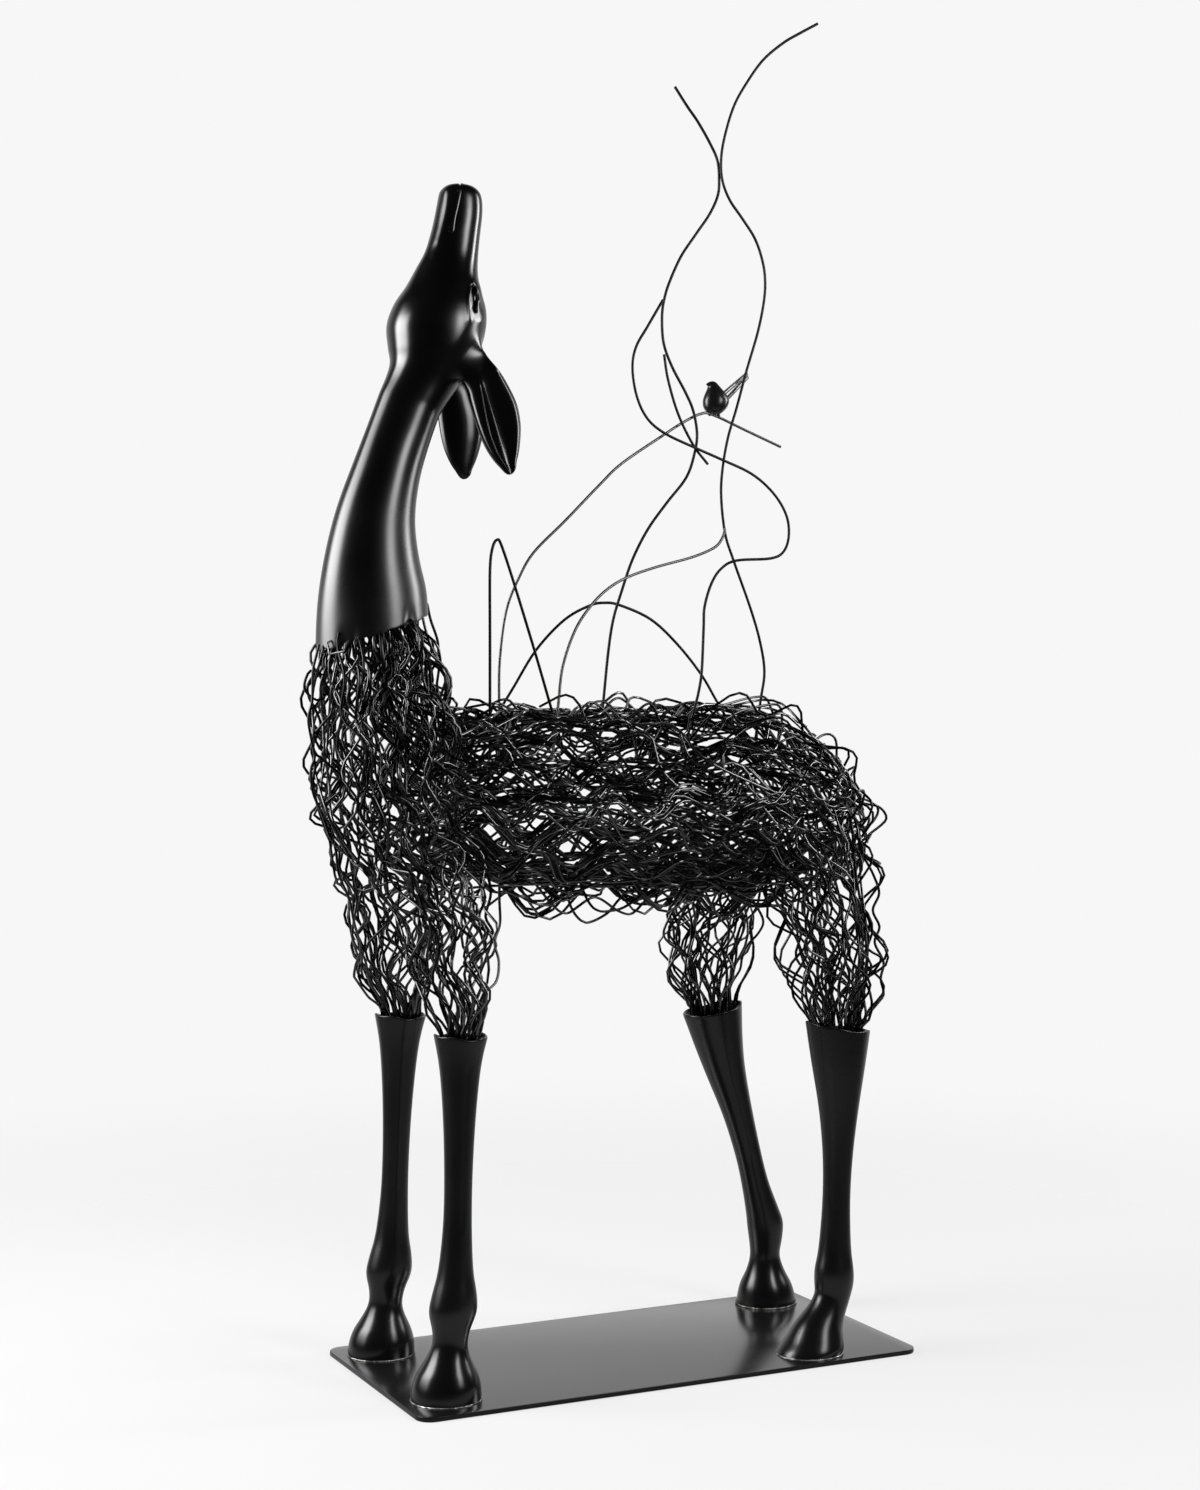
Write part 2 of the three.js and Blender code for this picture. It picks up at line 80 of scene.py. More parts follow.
def add_node(nodes, kind, values=None, **settings):
    """Adds a node of a kind, with its settings and the values of its inputs."""
    node = nodes.new(kind)
    for name, setting in settings.items():
        setattr(node, name, setting)
    for name, value in (values or {}).items():
        node.inputs[name].default_value = value
    return node


def add_range(nodes, from_min, from_max, to_min=0, to_max=1, blend="LINEAR"):
    """Adds a node that turns one range of values into another."""
    values = {"From Min": from_min, "From Max": from_max, "To Min": to_min, "To Max": to_max}
    return add_node(nodes, "ShaderNodeMapRange", values, interpolation_type=blend)


def floor_material():
    """A pale floor that glows faintly, less so in reflections, and fades out with distance from the doe."""
    material = bpy.data.materials.new("pale_floor")
    material.use_nodes = True
    nodes, links = material.node_tree.nodes, material.node_tree.links
    nodes.remove(nodes["Principled BSDF"])
    place = nodes.new("ShaderNodeTexCoord")
    distance = add_node(nodes, "ShaderNodeVectorMath", operation="LENGTH")
    fade = add_range(nodes, FLOOR_FADE_START, FLOOR_FADE_END, blend="SMOOTHSTEP")
    paint = add_node(nodes, "ShaderNodeBsdfDiffuse", {"Color": (FLOOR_SHADE, FLOOR_SHADE, FLOOR_SHADE, 1)})
    ray = nodes.new("ShaderNodeLightPath")
    seen_in_gloss = add_range(nodes, 0.45, 1.3, REFLECTED_FLOOR_GLOW, 0)
    brightness = add_node(nodes, "ShaderNodeMix", data_type="FLOAT")
    brightness.inputs["A"].default_value = FLOOR_GLOW
    glow = nodes.new("ShaderNodeEmission")
    lit = nodes.new("ShaderNodeAddShader")
    clear = nodes.new("ShaderNodeBsdfTransparent")
    mix = nodes.new("ShaderNodeMixShader")
    links.new(place.outputs["Object"], distance.inputs[0])
    links.new(distance.outputs["Value"], fade.inputs["Value"])
    links.new(distance.outputs["Value"], seen_in_gloss.inputs["Value"])
    links.new(ray.outputs["Is Glossy Ray"], brightness.inputs["Factor"])
    links.new(seen_in_gloss.outputs["Result"], brightness.inputs["B"])
    links.new(brightness.outputs["Result"], glow.inputs["Strength"])
    links.new(fade.outputs["Result"], mix.inputs["Fac"])
    links.new(paint.outputs["BSDF"], lit.inputs[0])
    links.new(glow.outputs["Emission"], lit.inputs[1])
    links.new(lit.outputs["Shader"], mix.inputs[1])
    links.new(clear.outputs["BSDF"], mix.inputs[2])
    links.new(mix.outputs["Shader"], nodes["Material Output"].inputs["Surface"])
    return material


bpy.ops.mesh.primitive_circle_add(vertices=96, radius=FLOOR_FADE_END, fill_type="NGON")
floor = bpy.context.object
floor.name = "studio_floor"
floor.data.materials.append(floor_material())

world = bpy.data.worlds.new("studio_room")
bpy.context.scene.world = world
world.use_nodes = True
room_nodes, room_links = world.node_tree.nodes, world.node_tree.links
room_nodes.clear()
ray = room_nodes.new("ShaderNodeLightPath")
direction = room_nodes.new("ShaderNodeTexCoord")
# Reflections see a white wall beyond the doe, low down, and a dark room everywhere else.
toward_wall = add_node(room_nodes, "ShaderNodeVectorMath", {1: WALL_DIRECTION}, operation="DOT_PRODUCT")
wall = add_range(room_nodes, 0.25, 0.8, DARK_ROOM, 1, blend="SMOOTHSTEP")
reflected = room_nodes.new("ShaderNodeBackground")
white = (WHITE_BACKGROUND, WHITE_BACKGROUND, WHITE_BACKGROUND, 1)
plain = add_node(room_nodes, "ShaderNodeBackground", {"Color": white})
choose = room_nodes.new("ShaderNodeMixShader")
room_out = room_nodes.new("ShaderNodeOutputWorld")
room_links.new(direction.outputs["Generated"], toward_wall.inputs[0])
room_links.new(toward_wall.outputs["Value"], wall.inputs["Value"])
room_links.new(wall.outputs["Result"], reflected.inputs["Strength"])
room_links.new(ray.outputs["Is Glossy Ray"], choose.inputs["Fac"])
room_links.new(plain.outputs["Background"], choose.inputs[1])
room_links.new(reflected.outputs["Background"], choose.inputs[2])
room_links.new(choose.outputs["Shader"], room_out.inputs["Surface"])


def soft_light(name, bearing, distance, width, height, middle, watts):
    """A tall softbox. Bearing is in degrees round the doe from the camera, positive to its right."""
    turn = radians(CAMERA_TURN) + radians(bearing)
    place = Vector((sin(turn), -cos(turn), 0)) * distance + Vector((0, 0, middle))
    bpy.ops.object.light_add(type="AREA", location=place)
    light = bpy.context.object
    light.name = name
    light.rotation_euler = (place - Vector((0, 0, middle))).to_track_quat("Z", "Y").to_euler()
    light.data.shape = "RECTANGLE"
    light.data.size = width
    light.data.size_y = height
    light.data.energy = watts
    light.visible_camera = False
    # The panel is brightest in its middle and dies away towards its edges.
    light.data.use_nodes = True
    nodes, links = light.data.node_tree.nodes, light.data.node_tree.links
    place_on_panel = nodes.new("ShaderNodeNewGeometry")
    apart = nodes.new("ShaderNodeSeparateXYZ")
    both = add_node(nodes, "ShaderNodeMath", operation="MULTIPLY")
    links.new(place_on_panel.outputs["Parametric"], apart.inputs[0])
    for i, (axis, share) in enumerate((("X", 0.3), ("Y", 0.45))):
        from_edge = add_node(nodes, "ShaderNodeMath", {1: 0.5}, operation="PINGPONG")
        falloff = add_range(nodes, 0, share, 0, 1 / (1 - share), blend="SMOOTHSTEP")
        links.new(apart.outputs[axis], from_edge.inputs[0])
        links.new(from_edge.outputs["Value"], falloff.inputs["Value"])
        links.new(falloff.outputs["Result"], both.inputs[i])
    links.new(both.outputs["Value"], nodes["Emission"].inputs["Strength"])


# [name, bearing, distance, width, height, height of its middle, watts]
for softbox in (
    ("left_softbox", -79, 2.1, 1.9, 2.8, 1.6, 170),
    ("right_softbox", 52, 2.3, 0.9, 2.6, 1.8, 56),
    ("right_rear_softbox", 106, 2.3, 0.8, 2.6, 1.8, 62),
):
    soft_light(*softbox)


# ---------------------------------------------------------------- base plate
# A 6 mm steel plate cut with rounded corners and eased edges, and powder coated satin black.
# The hooves stand on it and are welded down.
CORNER_RADIUS = 0.020
EASED_EDGE = 0.0008


def black_paint(name, shade, roughness, spread, peel_size, peel_height, shine=0.5):
    """Black paint whose roughness drifts by a spread over the piece, under a faint orange-peel skin."""
    material = bpy.data.materials.new(name)
    material.use_nodes = True
    nodes, links = material.node_tree.nodes, material.node_tree.links
    shader = nodes["Principled BSDF"]
    shader.inputs["Specular IOR Level"].default_value = shine
    place = nodes.new("ShaderNodeTexCoord")
    drift = add_node(nodes, "ShaderNodeTexNoise", {"Scale": 9, "Detail": 4})
    gloss = add_range(nodes, 0.3, 0.7, roughness - spread, roughness + spread)
    colour = nodes.new("ShaderNodeValToRGB")
    colour.color_ramp.elements[0].position = 0.35
    colour.color_ramp.elements[0].color = (shade * 0.8, shade * 0.8, shade * 0.82, 1)
    colour.color_ramp.elements[1].position = 0.7
    colour.color_ramp.elements[1].color = (shade * 1.3, shade * 1.28, shade * 1.3, 1)
    peel = add_node(nodes, "ShaderNodeTexNoise", {"Scale": 1 / peel_size, "Detail": 2})
    skin = add_node(nodes, "ShaderNodeBump", {"Distance": peel_height, "Strength": 0.5})
    links.new(place.outputs["Object"], drift.inputs["Vector"])
    links.new(place.outputs["Object"], peel.inputs["Vector"])
    links.new(drift.outputs["Fac"], gloss.inputs["Value"])
    links.new(drift.outputs["Fac"], colour.inputs["Fac"])
    links.new(colour.outputs["Color"], shader.inputs["Base Color"])
    links.new(gloss.outputs["Result"], shader.inputs["Roughness"])
    links.new(peel.outputs["Fac"], skin.inputs["Height"])
    links.new(skin.outputs["Normal"], shader.inputs["Normal"])
    return material


def select_edges(piece, wanted):
    """Selects the edges whose two ends pass a test, and goes into edit mode."""
    bpy.ops.object.mode_set(mode="EDIT")
    bpy.ops.mesh.select_mode(type="EDGE")
    bpy.ops.mesh.select_all(action="DESELECT")
    bpy.ops.object.mode_set(mode="OBJECT")
    for edge in piece.data.edges:
        edge.select = wanted(*[piece.data.vertices[i].co for i in edge.vertices])
    bpy.ops.object.mode_set(mode="EDIT")


plate_low, plate_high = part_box("base_plate")
plate_size = plate_high - plate_low
bpy.ops.object.select_all(action="DESELECT")
bpy.ops.mesh.primitive_cube_add(size=1, location=(plate_low + plate_high) / 2, scale=plate_size)
plate = bpy.context.object
plate.name = "steel_base_plate"
bpy.ops.object.transform_apply(location=True, rotation=True, scale=True)
select_edges(plate, lambda start, end: abs(start.z - end.z) > plate_size.z / 2)
bpy.ops.mesh.bevel(offset=CORNER_RADIUS, segments=12, affect="EDGES")
select_edges(plate, lambda start, end: abs(start.z - end.z) < plate_size.z / 2)
bpy.ops.mesh.bevel(offset=EASED_EDGE, segments=3, affect="EDGES")
bpy.ops.object.mode_set(mode="OBJECT")
bpy.ops.object.shade_smooth_by_angle(angle=radians(40))
# The top is rubbed to a sheen, and the cut edges stay dull.
for finish_name, shine, ior in (("plate_powder_coat", 0.75, 1.9), ("plate_edge_coat", 0.2, 1.4)):
    plate_finish = black_paint(
        finish_name, shade=0.003, roughness=0.19, spread=0.02,
        peel_size=0.0009, peel_height=0.00001, shine=shine,
    )
    plate_finish.node_tree.nodes["Principled BSDF"].inputs["IOR"].default_value = ior
    plate.data.materials.append(plate_finish)
for face in plate.data.polygons:
    face.material_index = 0 if face.normal.z > 0.8 else 1
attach(plate, "root")
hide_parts("base_plate")


# ---------------------------------------------------------------- lower legs
# Four hollow castings, each with a hoof, pastern, fetlock and cannon bone, that open at the top into a cup
# for the body wires. Cast in two halves, so soft seam lines run down them, and painted a flat satin black.
CUP_WALL = 0.004
CUP_DEPTH = 0.046
SOLE_EDGE = 0.0015
RIM_EDGE = 0.0025
SEAM_WIDTH = 0.0034


def on_curve(a, b, c, d, t):
    """A place between b and c, at a share t of the way, on a smooth curve through a, b, c and d."""
    return 0.5 * (2 * b + (c - a) * t + (2 * a - 5 * b + 4 * c - d) * t**2 + (3 * b - a - 3 * c + d) * t**3)


def in_between(stations, steps):
    """Adds stations on smooth curves through the given ones, steps to each gap."""
    rows = np.array(stations, float)
    padded = np.vstack([2 * rows[0] - rows[1], rows, 2 * rows[-1] - rows[-2]])
    filled = []
    for i in range(len(rows) - 1):
        filled += [on_curve(*padded[i : i + 4], k / steps) for k in range(steps)]
    return filled + [rows[-1]]


def draw_up_rings(stations, around):
    """Draws a tube up from a circle, ring by ring. A station is (x, y, z, half depth, half width, tilt)."""
    bpy.ops.object.select_all(action="DESELECT")
    bpy.ops.mesh.primitive_circle_add(vertices=around, radius=1)
    piece = bpy.context.object
    bpy.ops.object.mode_set(mode="EDIT")
    bpy.ops.mesh.select_mode(type="VERT")
    bpy.ops.mesh.select_all(action="SELECT")
    centre, depth, width, tilt = Vector((0, 0, 0)), 1, 1, 0
    for i, (x, y, z, next_depth, next_width, next_tilt) in enumerate(stations):
        next_centre = Vector((x, y, z))
        if i > 0:
            bpy.ops.mesh.extrude_edges_move(TRANSFORM_OT_translate={"value": next_centre - centre})
        else:
            bpy.ops.transform.translate(value=next_centre)
        centre = next_centre
        bpy.ops.transform.rotate(value=-radians(tilt), orient_axis="Y", center_override=centre)
        bpy.ops.transform.resize(value=(next_depth / depth, next_width / width, 1), center_override=centre)
        bpy.ops.transform.rotate(value=radians(next_tilt), orient_axis="Y", center_override=centre)
        depth, width, tilt = next_depth, next_width, next_tilt
    return piece


def select_lowest_ring(piece, depth):
    """Selects what lies within a depth above the lowest point, in edit mode."""
    bpy.ops.object.mode_set(mode="OBJECT")
    low = min(v.co.z for v in piece.data.vertices)
    for v in piece.data.vertices:
        v.select = v.co.z < low + depth
    for part in (piece.data.edges, piece.data.polygons):
        for element in part:
            element.select = all(piece.data.vertices[i].select for i in element.vertices)
    bpy.ops.object.mode_set(mode="EDIT")


def close_tube(piece, end_depth, inset=0, inside_out=False):
    """Closes a drawn tube at both ends, the lowest ring last, and turns its faces outwards."""
    bpy.ops.mesh.edge_face_add()
    select_lowest_ring(piece, end_depth)
    bpy.ops.mesh.edge_face_add()
    if inset:
        bpy.ops.mesh.inset(thickness=inset)
    bpy.ops.mesh.select_all(action="SELECT")
    bpy.ops.mesh.normals_make_consistent(inside=inside_out)
    bpy.ops.object.mode_set(mode="OBJECT")


def subdivide_smooth(piece, levels):
    """Rounds a piece off with a finer surface."""
    bpy.ops.object.mode_set(mode="OBJECT")
    modifier = piece.modifiers.new("fine_surface", "SUBSURF")
    modifier.levels = levels
    modifier.render_levels = levels
    bpy.ops.object.modifier_apply(modifier=modifier.name)


def vertex_arrays(piece):
    """The places and the normals of a piece's vertices."""
    count = len(piece.data.vertices)
    places = np.empty(count * 3)
    normals = np.empty(count * 3)
    piece.data.vertices.foreach_get("co", places)
    piece.data.vertices.foreach_get("normal", normals)
    return places.reshape(-1, 3), normals.reshape(-1, 3)


def put_vertices(piece, places):
    """Moves a piece's vertices to new places."""
    piece.data.vertices.foreach_set("co", places.ravel())
    piece.data.update()


def distance_to_line(places, line):
    """The distance from each place to a line of straight runs."""
    nearest = np.full(len(places), 1e9)
    for a, b in zip(np.array(line[:-1], float), np.array(line[1:], float)):
        along = np.clip((places - a) @ (b - a) / max((b - a) @ (b - a), 1e-12), 0, 1)
        nearest = np.minimum(nearest, np.linalg.norm(places - a - along[:, None] * (b - a), axis=1))
    return nearest


def laid_on(piece, line):
    """The line drawn on smoothly from point to point and laid on the surface."""
    bpy.context.view_layer.update()
    return [piece.closest_point_on_mesh(Vector(point))[1] for point in in_between(line, 4)]


def press_line(piece, line, width, depth):
    """Presses a soft groove into a surface along a line; a negative depth raises a ridge."""
    places, normals = vertex_arrays(piece)
    reach = np.exp(-((distance_to_line(places, laid_on(piece, line)) / width) ** 2))
    put_vertices(piece, places - normals * (depth * reach)[:, None])


def beside(piece, line, offset):
    """A line on a surface moved sideways over it."""
    line = laid_on(piece, line)
    runs = np.gradient(np.array(line), axis=0)
    normals = [piece.closest_point_on_mesh(point)[2] for point in line]
    aside = [Vector(run).normalized().cross(normal) for run, normal in zip(runs, normals)]
    return [point + offset * side for point, side in zip(line, aside)][::4]


# Heights are shares of the casting's height: [height, share of the lean, half depth, half width].
FORE_LEG_FORM = [
    (0.000, 0.00, 0.0445, 0.0420),
    (0.022, 0.01, 0.0440, 0.0416),
    (0.048, 0.04, 0.0420, 0.0398),
    (0.075, 0.07, 0.0376, 0.0354),
    (0.100, 0.12, 0.0313, 0.0296),
    (0.125, 0.17, 0.0256, 0.0240),
    (0.153, 0.24, 0.0223, 0.0208),
    (0.190, 0.32, 0.0240, 0.0212),
    (0.240, 0.42, 0.0305, 0.0260),
    (0.290, 0.52, 0.0280, 0.0245),
    (0.355, 0.60, 0.0220, 0.0200),
    (0.480, 0.72, 0.0180, 0.0170),
    (0.620, 0.80, 0.0178, 0.0170),
    (0.770, 0.88, 0.0205, 0.0195),
    (0.910, 0.95, 0.0260, 0.0245),
    (1.000, 1.00, 0.0340, 0.0325),
]
FORE_LEAN = 0.024
FORE_INWARD = 0.010
FORE_RIM = 0.448
# [height, distance from the foot along x, half depth, half width, tilt in degrees]
NEAR_HIND_FORM = [
    (0.0063, 0.0000, 0.0450, 0.0410, 0),
    (0.0140, 0.0030, 0.0440, 0.0405, 0),
    (0.0240, 0.0080, 0.0385, 0.0365, -4),
    (0.0410, 0.0150, 0.0320, 0.0290, -10),
    (0.0580, 0.0260, 0.0260, 0.0235, -14),
    (0.0760, 0.0350, 0.0245, 0.0215, -10),
    (0.0940, 0.0380, 0.0270, 0.0235, -4),
    (0.1120, 0.0385, 0.0265, 0.0235, 0),
    (0.1400, 0.0400, 0.0220, 0.0200, 0),
    (0.2000, 0.0430, 0.0188, 0.0175, 0),
    (0.2600, 0.0460, 0.0205, 0.0190, 0),
    (0.3200, 0.0480, 0.0270, 0.0250, -2),
    (0.3800, 0.0480, 0.0370, 0.0340, -6),
    (0.4280, 0.0480, 0.0445, 0.0410, -9),
]
FAR_HIND_FORM = [
    (0.0063, 0.0000, 0.0435, 0.0405, 0),
    (0.0160, 0.0000, 0.0420, 0.0395, 0),
    (0.0340, -0.0010, 0.0370, 0.0350, 0),
    (0.0540, -0.0020, 0.0270, 0.0250, 0),
    (0.0740, -0.0030, 0.0215, 0.0200, 2),
    (0.0940, -0.0020, 0.0240, 0.0210, 4),
    (0.1170, -0.0030, 0.0265, 0.0225, 8),
    (0.1400, -0.0090, 0.0235, 0.0210, 12),
    (0.1760, -0.0200, 0.0195, 0.0180, 14),
    (0.2200, -0.0320, 0.0185, 0.0175, 15),
    (0.2800, -0.0500, 0.0215, 0.0200, 16),
    (0.3400, -0.0700, 0.0285, 0.0265, 15),
    (0.3880, -0.0830, 0.0360, 0.0335, 13),
    (0.4280, -0.0920, 0.0430, 0.0395, 11),
]
HIND_INWARD = 0.011
HIND_RIM = 0.428


def sole_centre(node):
    """The middle of a casting's underside, and the height it stands at."""
    places, _ = vertex_arrays(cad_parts[node])
    sole = places[places[:, 2] < places[:, 2].min() + 0.0005]
    return (sole.min(axis=0) + sole.max(axis=0)) / 2


def fore_leg_stations(node):
    """The rings of a fore leg over its node's sole."""
    x, y, sole = sole_centre(node)
    inward = -FORE_INWARD if y > 0 else FORE_INWARD
    return [
        (x + FORE_LEAN * lean, y + inward * up, sole + (FORE_RIM - sole) * up, depth, width, -2 * up)
        for up, lean, depth, width in FORE_LEG_FORM
    ]


def hind_leg_stations(node, form):
    """The rings of a hind leg over its node's sole."""
    x, y, _ = sole_centre(node)
    inward = -HIND_INWARD if y > 0 else HIND_INWARD
    return [
        (x + shift, y + inward * height / HIND_RIM, height, depth, width, tilt)
        for height, shift, depth, width, tilt in form
    ]


def cast_leg(name, stations, seam_bearing):
    """A leg from its hoof up to the rim and down into the cup, with its mould seams and its uneven rim."""
    rings = in_between(stations, 3)
    rings.insert(1, rings[0] + (0, 0, SOLE_EDGE, 0, 0, 0))
    x, y, z, depth, width, tilt = rings[-1]
    rings.insert(-1, np.array((x, y, z - RIM_EDGE, depth - 0.0003, width - 0.0003, tilt)))
    inner_depth, inner_width = depth - CUP_WALL, width - CUP_WALL
    # The cup goes down to about the height of this ring.
    low_x, low_y, _, low_depth, low_width, _ = rings[-8]
    rings.append(np.array((x, y, z, inner_depth, inner_width, tilt)))
    rings.append(np.array((x, y, z - RIM_EDGE, inner_depth, inner_width, tilt)))
    rings.append(np.array((low_x, low_y, z - CUP_DEPTH, low_depth - CUP_WALL, low_width - CUP_WALL, tilt)))
    leg = draw_up_rings(rings, 20)
    leg.name = name
    close_tube(leg, 0.0004, inset=0.002)
    subdivide_smooth(leg, 2)
    bpy.ops.object.shade_smooth()
    # The two halves of the mould leave a soft crease down each side.
    for turn in (radians(seam_bearing + TO_CAMERA), radians(seam_bearing + TO_CAMERA + 180)):
        crease = [
            (x + depth * cos(turn), y + width * sin(turn), z)
            for x, y, z, depth, width, tilt in stations
            if z > 0.19
        ]
        press_line(leg, crease[:-1], SEAM_WIDTH, 0.0005)
        press_line(leg, beside(leg, crease[:-1], 0.005), SEAM_WIDTH, -0.0003)
    # The rim is trimmed by hand and a little uneven.
    places, _ = vertex_arrays(leg)
    around = np.arctan2(places[:, 1] - y, places[:, 0] - x)
    near_rim = np.clip((places[:, 2] - z + 0.020) / 0.020, 0, 1)
    places[:, 2] += near_rim * (0.0016 * np.sin(2 * around + z * 900) + 0.0009 * np.sin(5 * around + x * 700))
    put_vertices(leg, places)
    leg.data.materials.append(LEG_FINISH)
    return leg


def gloss_by_height(finish, low, high, share_low, share_high):
    """Scales a finish's roughness from one share at a low height to another at a high one."""
    nodes, links = finish.node_tree.nodes, finish.node_tree.links
    place = nodes.new("ShaderNodeTexCoord")
    height = nodes.new("ShaderNodeSeparateXYZ")
    share = add_range(nodes, low, high, share_low, share_high)
    scaled = add_node(nodes, "ShaderNodeMath", operation="MULTIPLY")
    roughness = nodes["Principled BSDF"].inputs["Roughness"]
    plain_gloss = roughness.links[0].from_socket
    links.new(place.outputs["Object"], height.inputs[0])
    links.new(height.outputs["Z"], share.inputs["Value"])
    links.new(plain_gloss, scaled.inputs[0])
    links.new(share.outputs["Result"], scaled.inputs[1])
    links.new(scaled.outputs["Value"], roughness)


# The gloss is deepest on the hooves, which are handled and polished, and flat higher up.
LEG_FINISH = black_paint(
    "leg_satin_black", shade=0.002, roughness=0.27, spread=0.03,
    peel_size=0.0012, peel_height=0.00004, shine=0.25,
)
gloss_by_height(LEG_FINISH, 0.060, 0.110, 0.8, 1.0)

# The side that faces the camera, in degrees from +X, and where each casting's seam lies round from there.
TO_CAMERA = -116
SEAM_BEARINGS = {
    "leg_casting_near_fore": 27,
    "leg_casting_far_fore": 30,
    "leg_casting_near_hind": -27,
    "leg_casting_far_hind": 2,
}
LEGS = {
    "leg_casting_near_fore": fore_leg_stations("leg_casting_near_fore"),
    "leg_casting_far_fore": fore_leg_stations("leg_casting_far_fore"),
    "leg_casting_near_hind": hind_leg_stations("leg_casting_near_hind", NEAR_HIND_FORM),
    "leg_casting_far_hind": hind_leg_stations("leg_casting_far_hind", FAR_HIND_FORM),
}
for node, stations in LEGS.items():
    leg = cast_leg(node.replace("leg_casting", "cast_leg"), stations, SEAM_BEARINGS[node])
    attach(leg, "root")
    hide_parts(node)


# ---------------------------------------------------------------- weld beads
# A thin bead of weld runs round the foot of each hoof and joins it to the plate. It was brushed and painted
# over thinly, so bright metal shows along it here and there; the one at the far hind hoof is the roughest.
BEAD_THICKNESS = 0.0008
BEAD_HEIGHT = 0.0006
# The bead's middle line as a share of the hoof's outline, and the thickness of the plain ring it starts from.
UNDER_HOOF = 0.985
RING_THICKNESS = 0.1


def weld_finish():
    """Bare brushed metal breaking through thin black paint."""
    material = bpy.data.materials.new("weld_bead_metal")
    material.use_nodes = True
    nodes, links = material.node_tree.nodes, material.node_tree.links
    shader = nodes["Principled BSDF"]
    place = nodes.new("ShaderNodeTexCoord")
    patches = add_node(nodes, "ShaderNodeTexNoise", {"Scale": 90, "Detail": 5})
    bare = add_range(nodes, 0.44, 0.58)
    colour = nodes.new("ShaderNodeValToRGB")
    colour.color_ramp.elements[0].color = (0.02, 0.02, 0.02, 1)
    colour.color_ramp.elements[1].color = (0.34, 0.33, 0.31, 1)
    roughness = add_range(nodes, 0, 1, 0.4, 0.3)
    ripples = add_node(nodes, "ShaderNodeTexNoise", {"Scale": 700})
    skin = add_node(nodes, "ShaderNodeBump", {"Distance": 0.0004})
    links.new(place.outputs["Object"], patches.inputs["Vector"])
    links.new(place.outputs["Object"], ripples.inputs["Vector"])
    links.new(patches.outputs["Fac"], bare.inputs["Value"])
    links.new(bare.outputs["Result"], colour.inputs["Fac"])
    links.new(bare.outputs["Result"], shader.inputs["Metallic"])
    links.new(bare.outputs["Result"], roughness.inputs["Value"])
    links.new(colour.outputs["Color"], shader.inputs["Base Color"])
    links.new(roughness.outputs["Result"], shader.inputs["Roughness"])
    links.new(ripples.outputs["Fac"], skin.inputs["Height"])
    links.new(skin.outputs["Normal"], shader.inputs["Normal"])
    return material


def weld_bead(node, unevenness, chance):
    """A bead round the foot of a hoof, lumpy all round it."""
    bpy.ops.object.select_all(action="DESELECT")
    bpy.ops.mesh.primitive_torus_add(
        major_segments=180, minor_segments=8, major_radius=1, minor_radius=RING_THICKNESS
    )
    bead = bpy.context.object
    bead.name = "weld_bead_" + node.removeprefix("leg_casting_")
    places, _ = vertex_arrays(bead)
    x, y, z, depth, width, _ = LEGS[node][0]
    around = np.arctan2(places[:, 1], places[:, 0])
    tooth = np.zeros(len(around))
    for waves in (7, 13, 22, 37, 61):
        tooth += chance.uniform(0.5, 1) * np.sin(waves * around + chance.uniform(0, 6)) / 3
    thick = BEAD_THICKNESS * (1 + unevenness * tooth)
    out = (np.hypot(places[:, 0], places[:, 1]) - 1) / RING_THICKNESS * thick
    bulge = 1 + 0.008 * unevenness * tooth
    placed = np.column_stack([
        x + np.cos(around) * (depth * UNDER_HOOF * bulge + out),
        y + np.sin(around) * (width * UNDER_HOOF * bulge + out),
        z + BEAD_HEIGHT + places[:, 2] / RING_THICKNESS * thick,
    ])
    put_vertices(bead, placed)
    bpy.ops.object.shade_smooth()
    bead.data.materials.append(WELD_FINISH)
    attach(bead, "root")


WELD_FINISH = weld_finish()
bead_chance = np.random.default_rng(8)
for node in LEGS:
    weld_bead(node, 0.75 if node == "leg_casting_far_hind" else 0.35, bead_chance)


# ---------------------------------------------------------------- head and neck
# One hollow casting with a deep gloss, from the oblique rim at the base of the neck up to the muzzle, with
# both ears cast on. The skull is widest behind the eyes and narrow at the jaw, so its sections are egg
# shaped.
HEAD_RING = 36

# [x, z, half depth, half width, tilt in degrees] from the rim up.
HEAD_AND_NECK_FORM = [
    (-0.3460, 0.9410, 0.0750, 0.0590, 18),
    (-0.3460, 0.9850, 0.0700, 0.0540, 9),
    (-0.3460, 1.0320, 0.0605, 0.0475, 0),
    (-0.3410, 1.0850, 0.0505, 0.0415, -8),
    (-0.3270, 1.1380, 0.0435, 0.0370, -16),
    (-0.3110, 1.1840, 0.0410, 0.0335, -20),
    (-0.2960, 1.2240, 0.0405, 0.0340, -20),
    (-0.2810, 1.2500, 0.0440, 0.0390, -14),
    (-0.2690, 1.2720, 0.0500, 0.0460, -7),
    (-0.2620, 1.2960, 0.0585, 0.0545, 0),
    (-0.2600, 1.3220, 0.0620, 0.0580, 0),
    (-0.2555, 1.3460, 0.0580, 0.0535, -2),
    (-0.2500, 1.3680, 0.0475, 0.0450, -5),
    (-0.2450, 1.3910, 0.0390, 0.0360, -8),
    (-0.2390, 1.4130, 0.0335, 0.0295, -8),
    (-0.2330, 1.4410, 0.0305, 0.0265, -8),
    (-0.2280, 1.4700, 0.0290, 0.0255, -6),
    (-0.2265, 1.4890, 0.0260, 0.0230, -4),
    (-0.2270, 1.4980, 0.0190, 0.0170, -2),
    (-0.2280, 1.5018, 0.0080, 0.0070, 0),
]
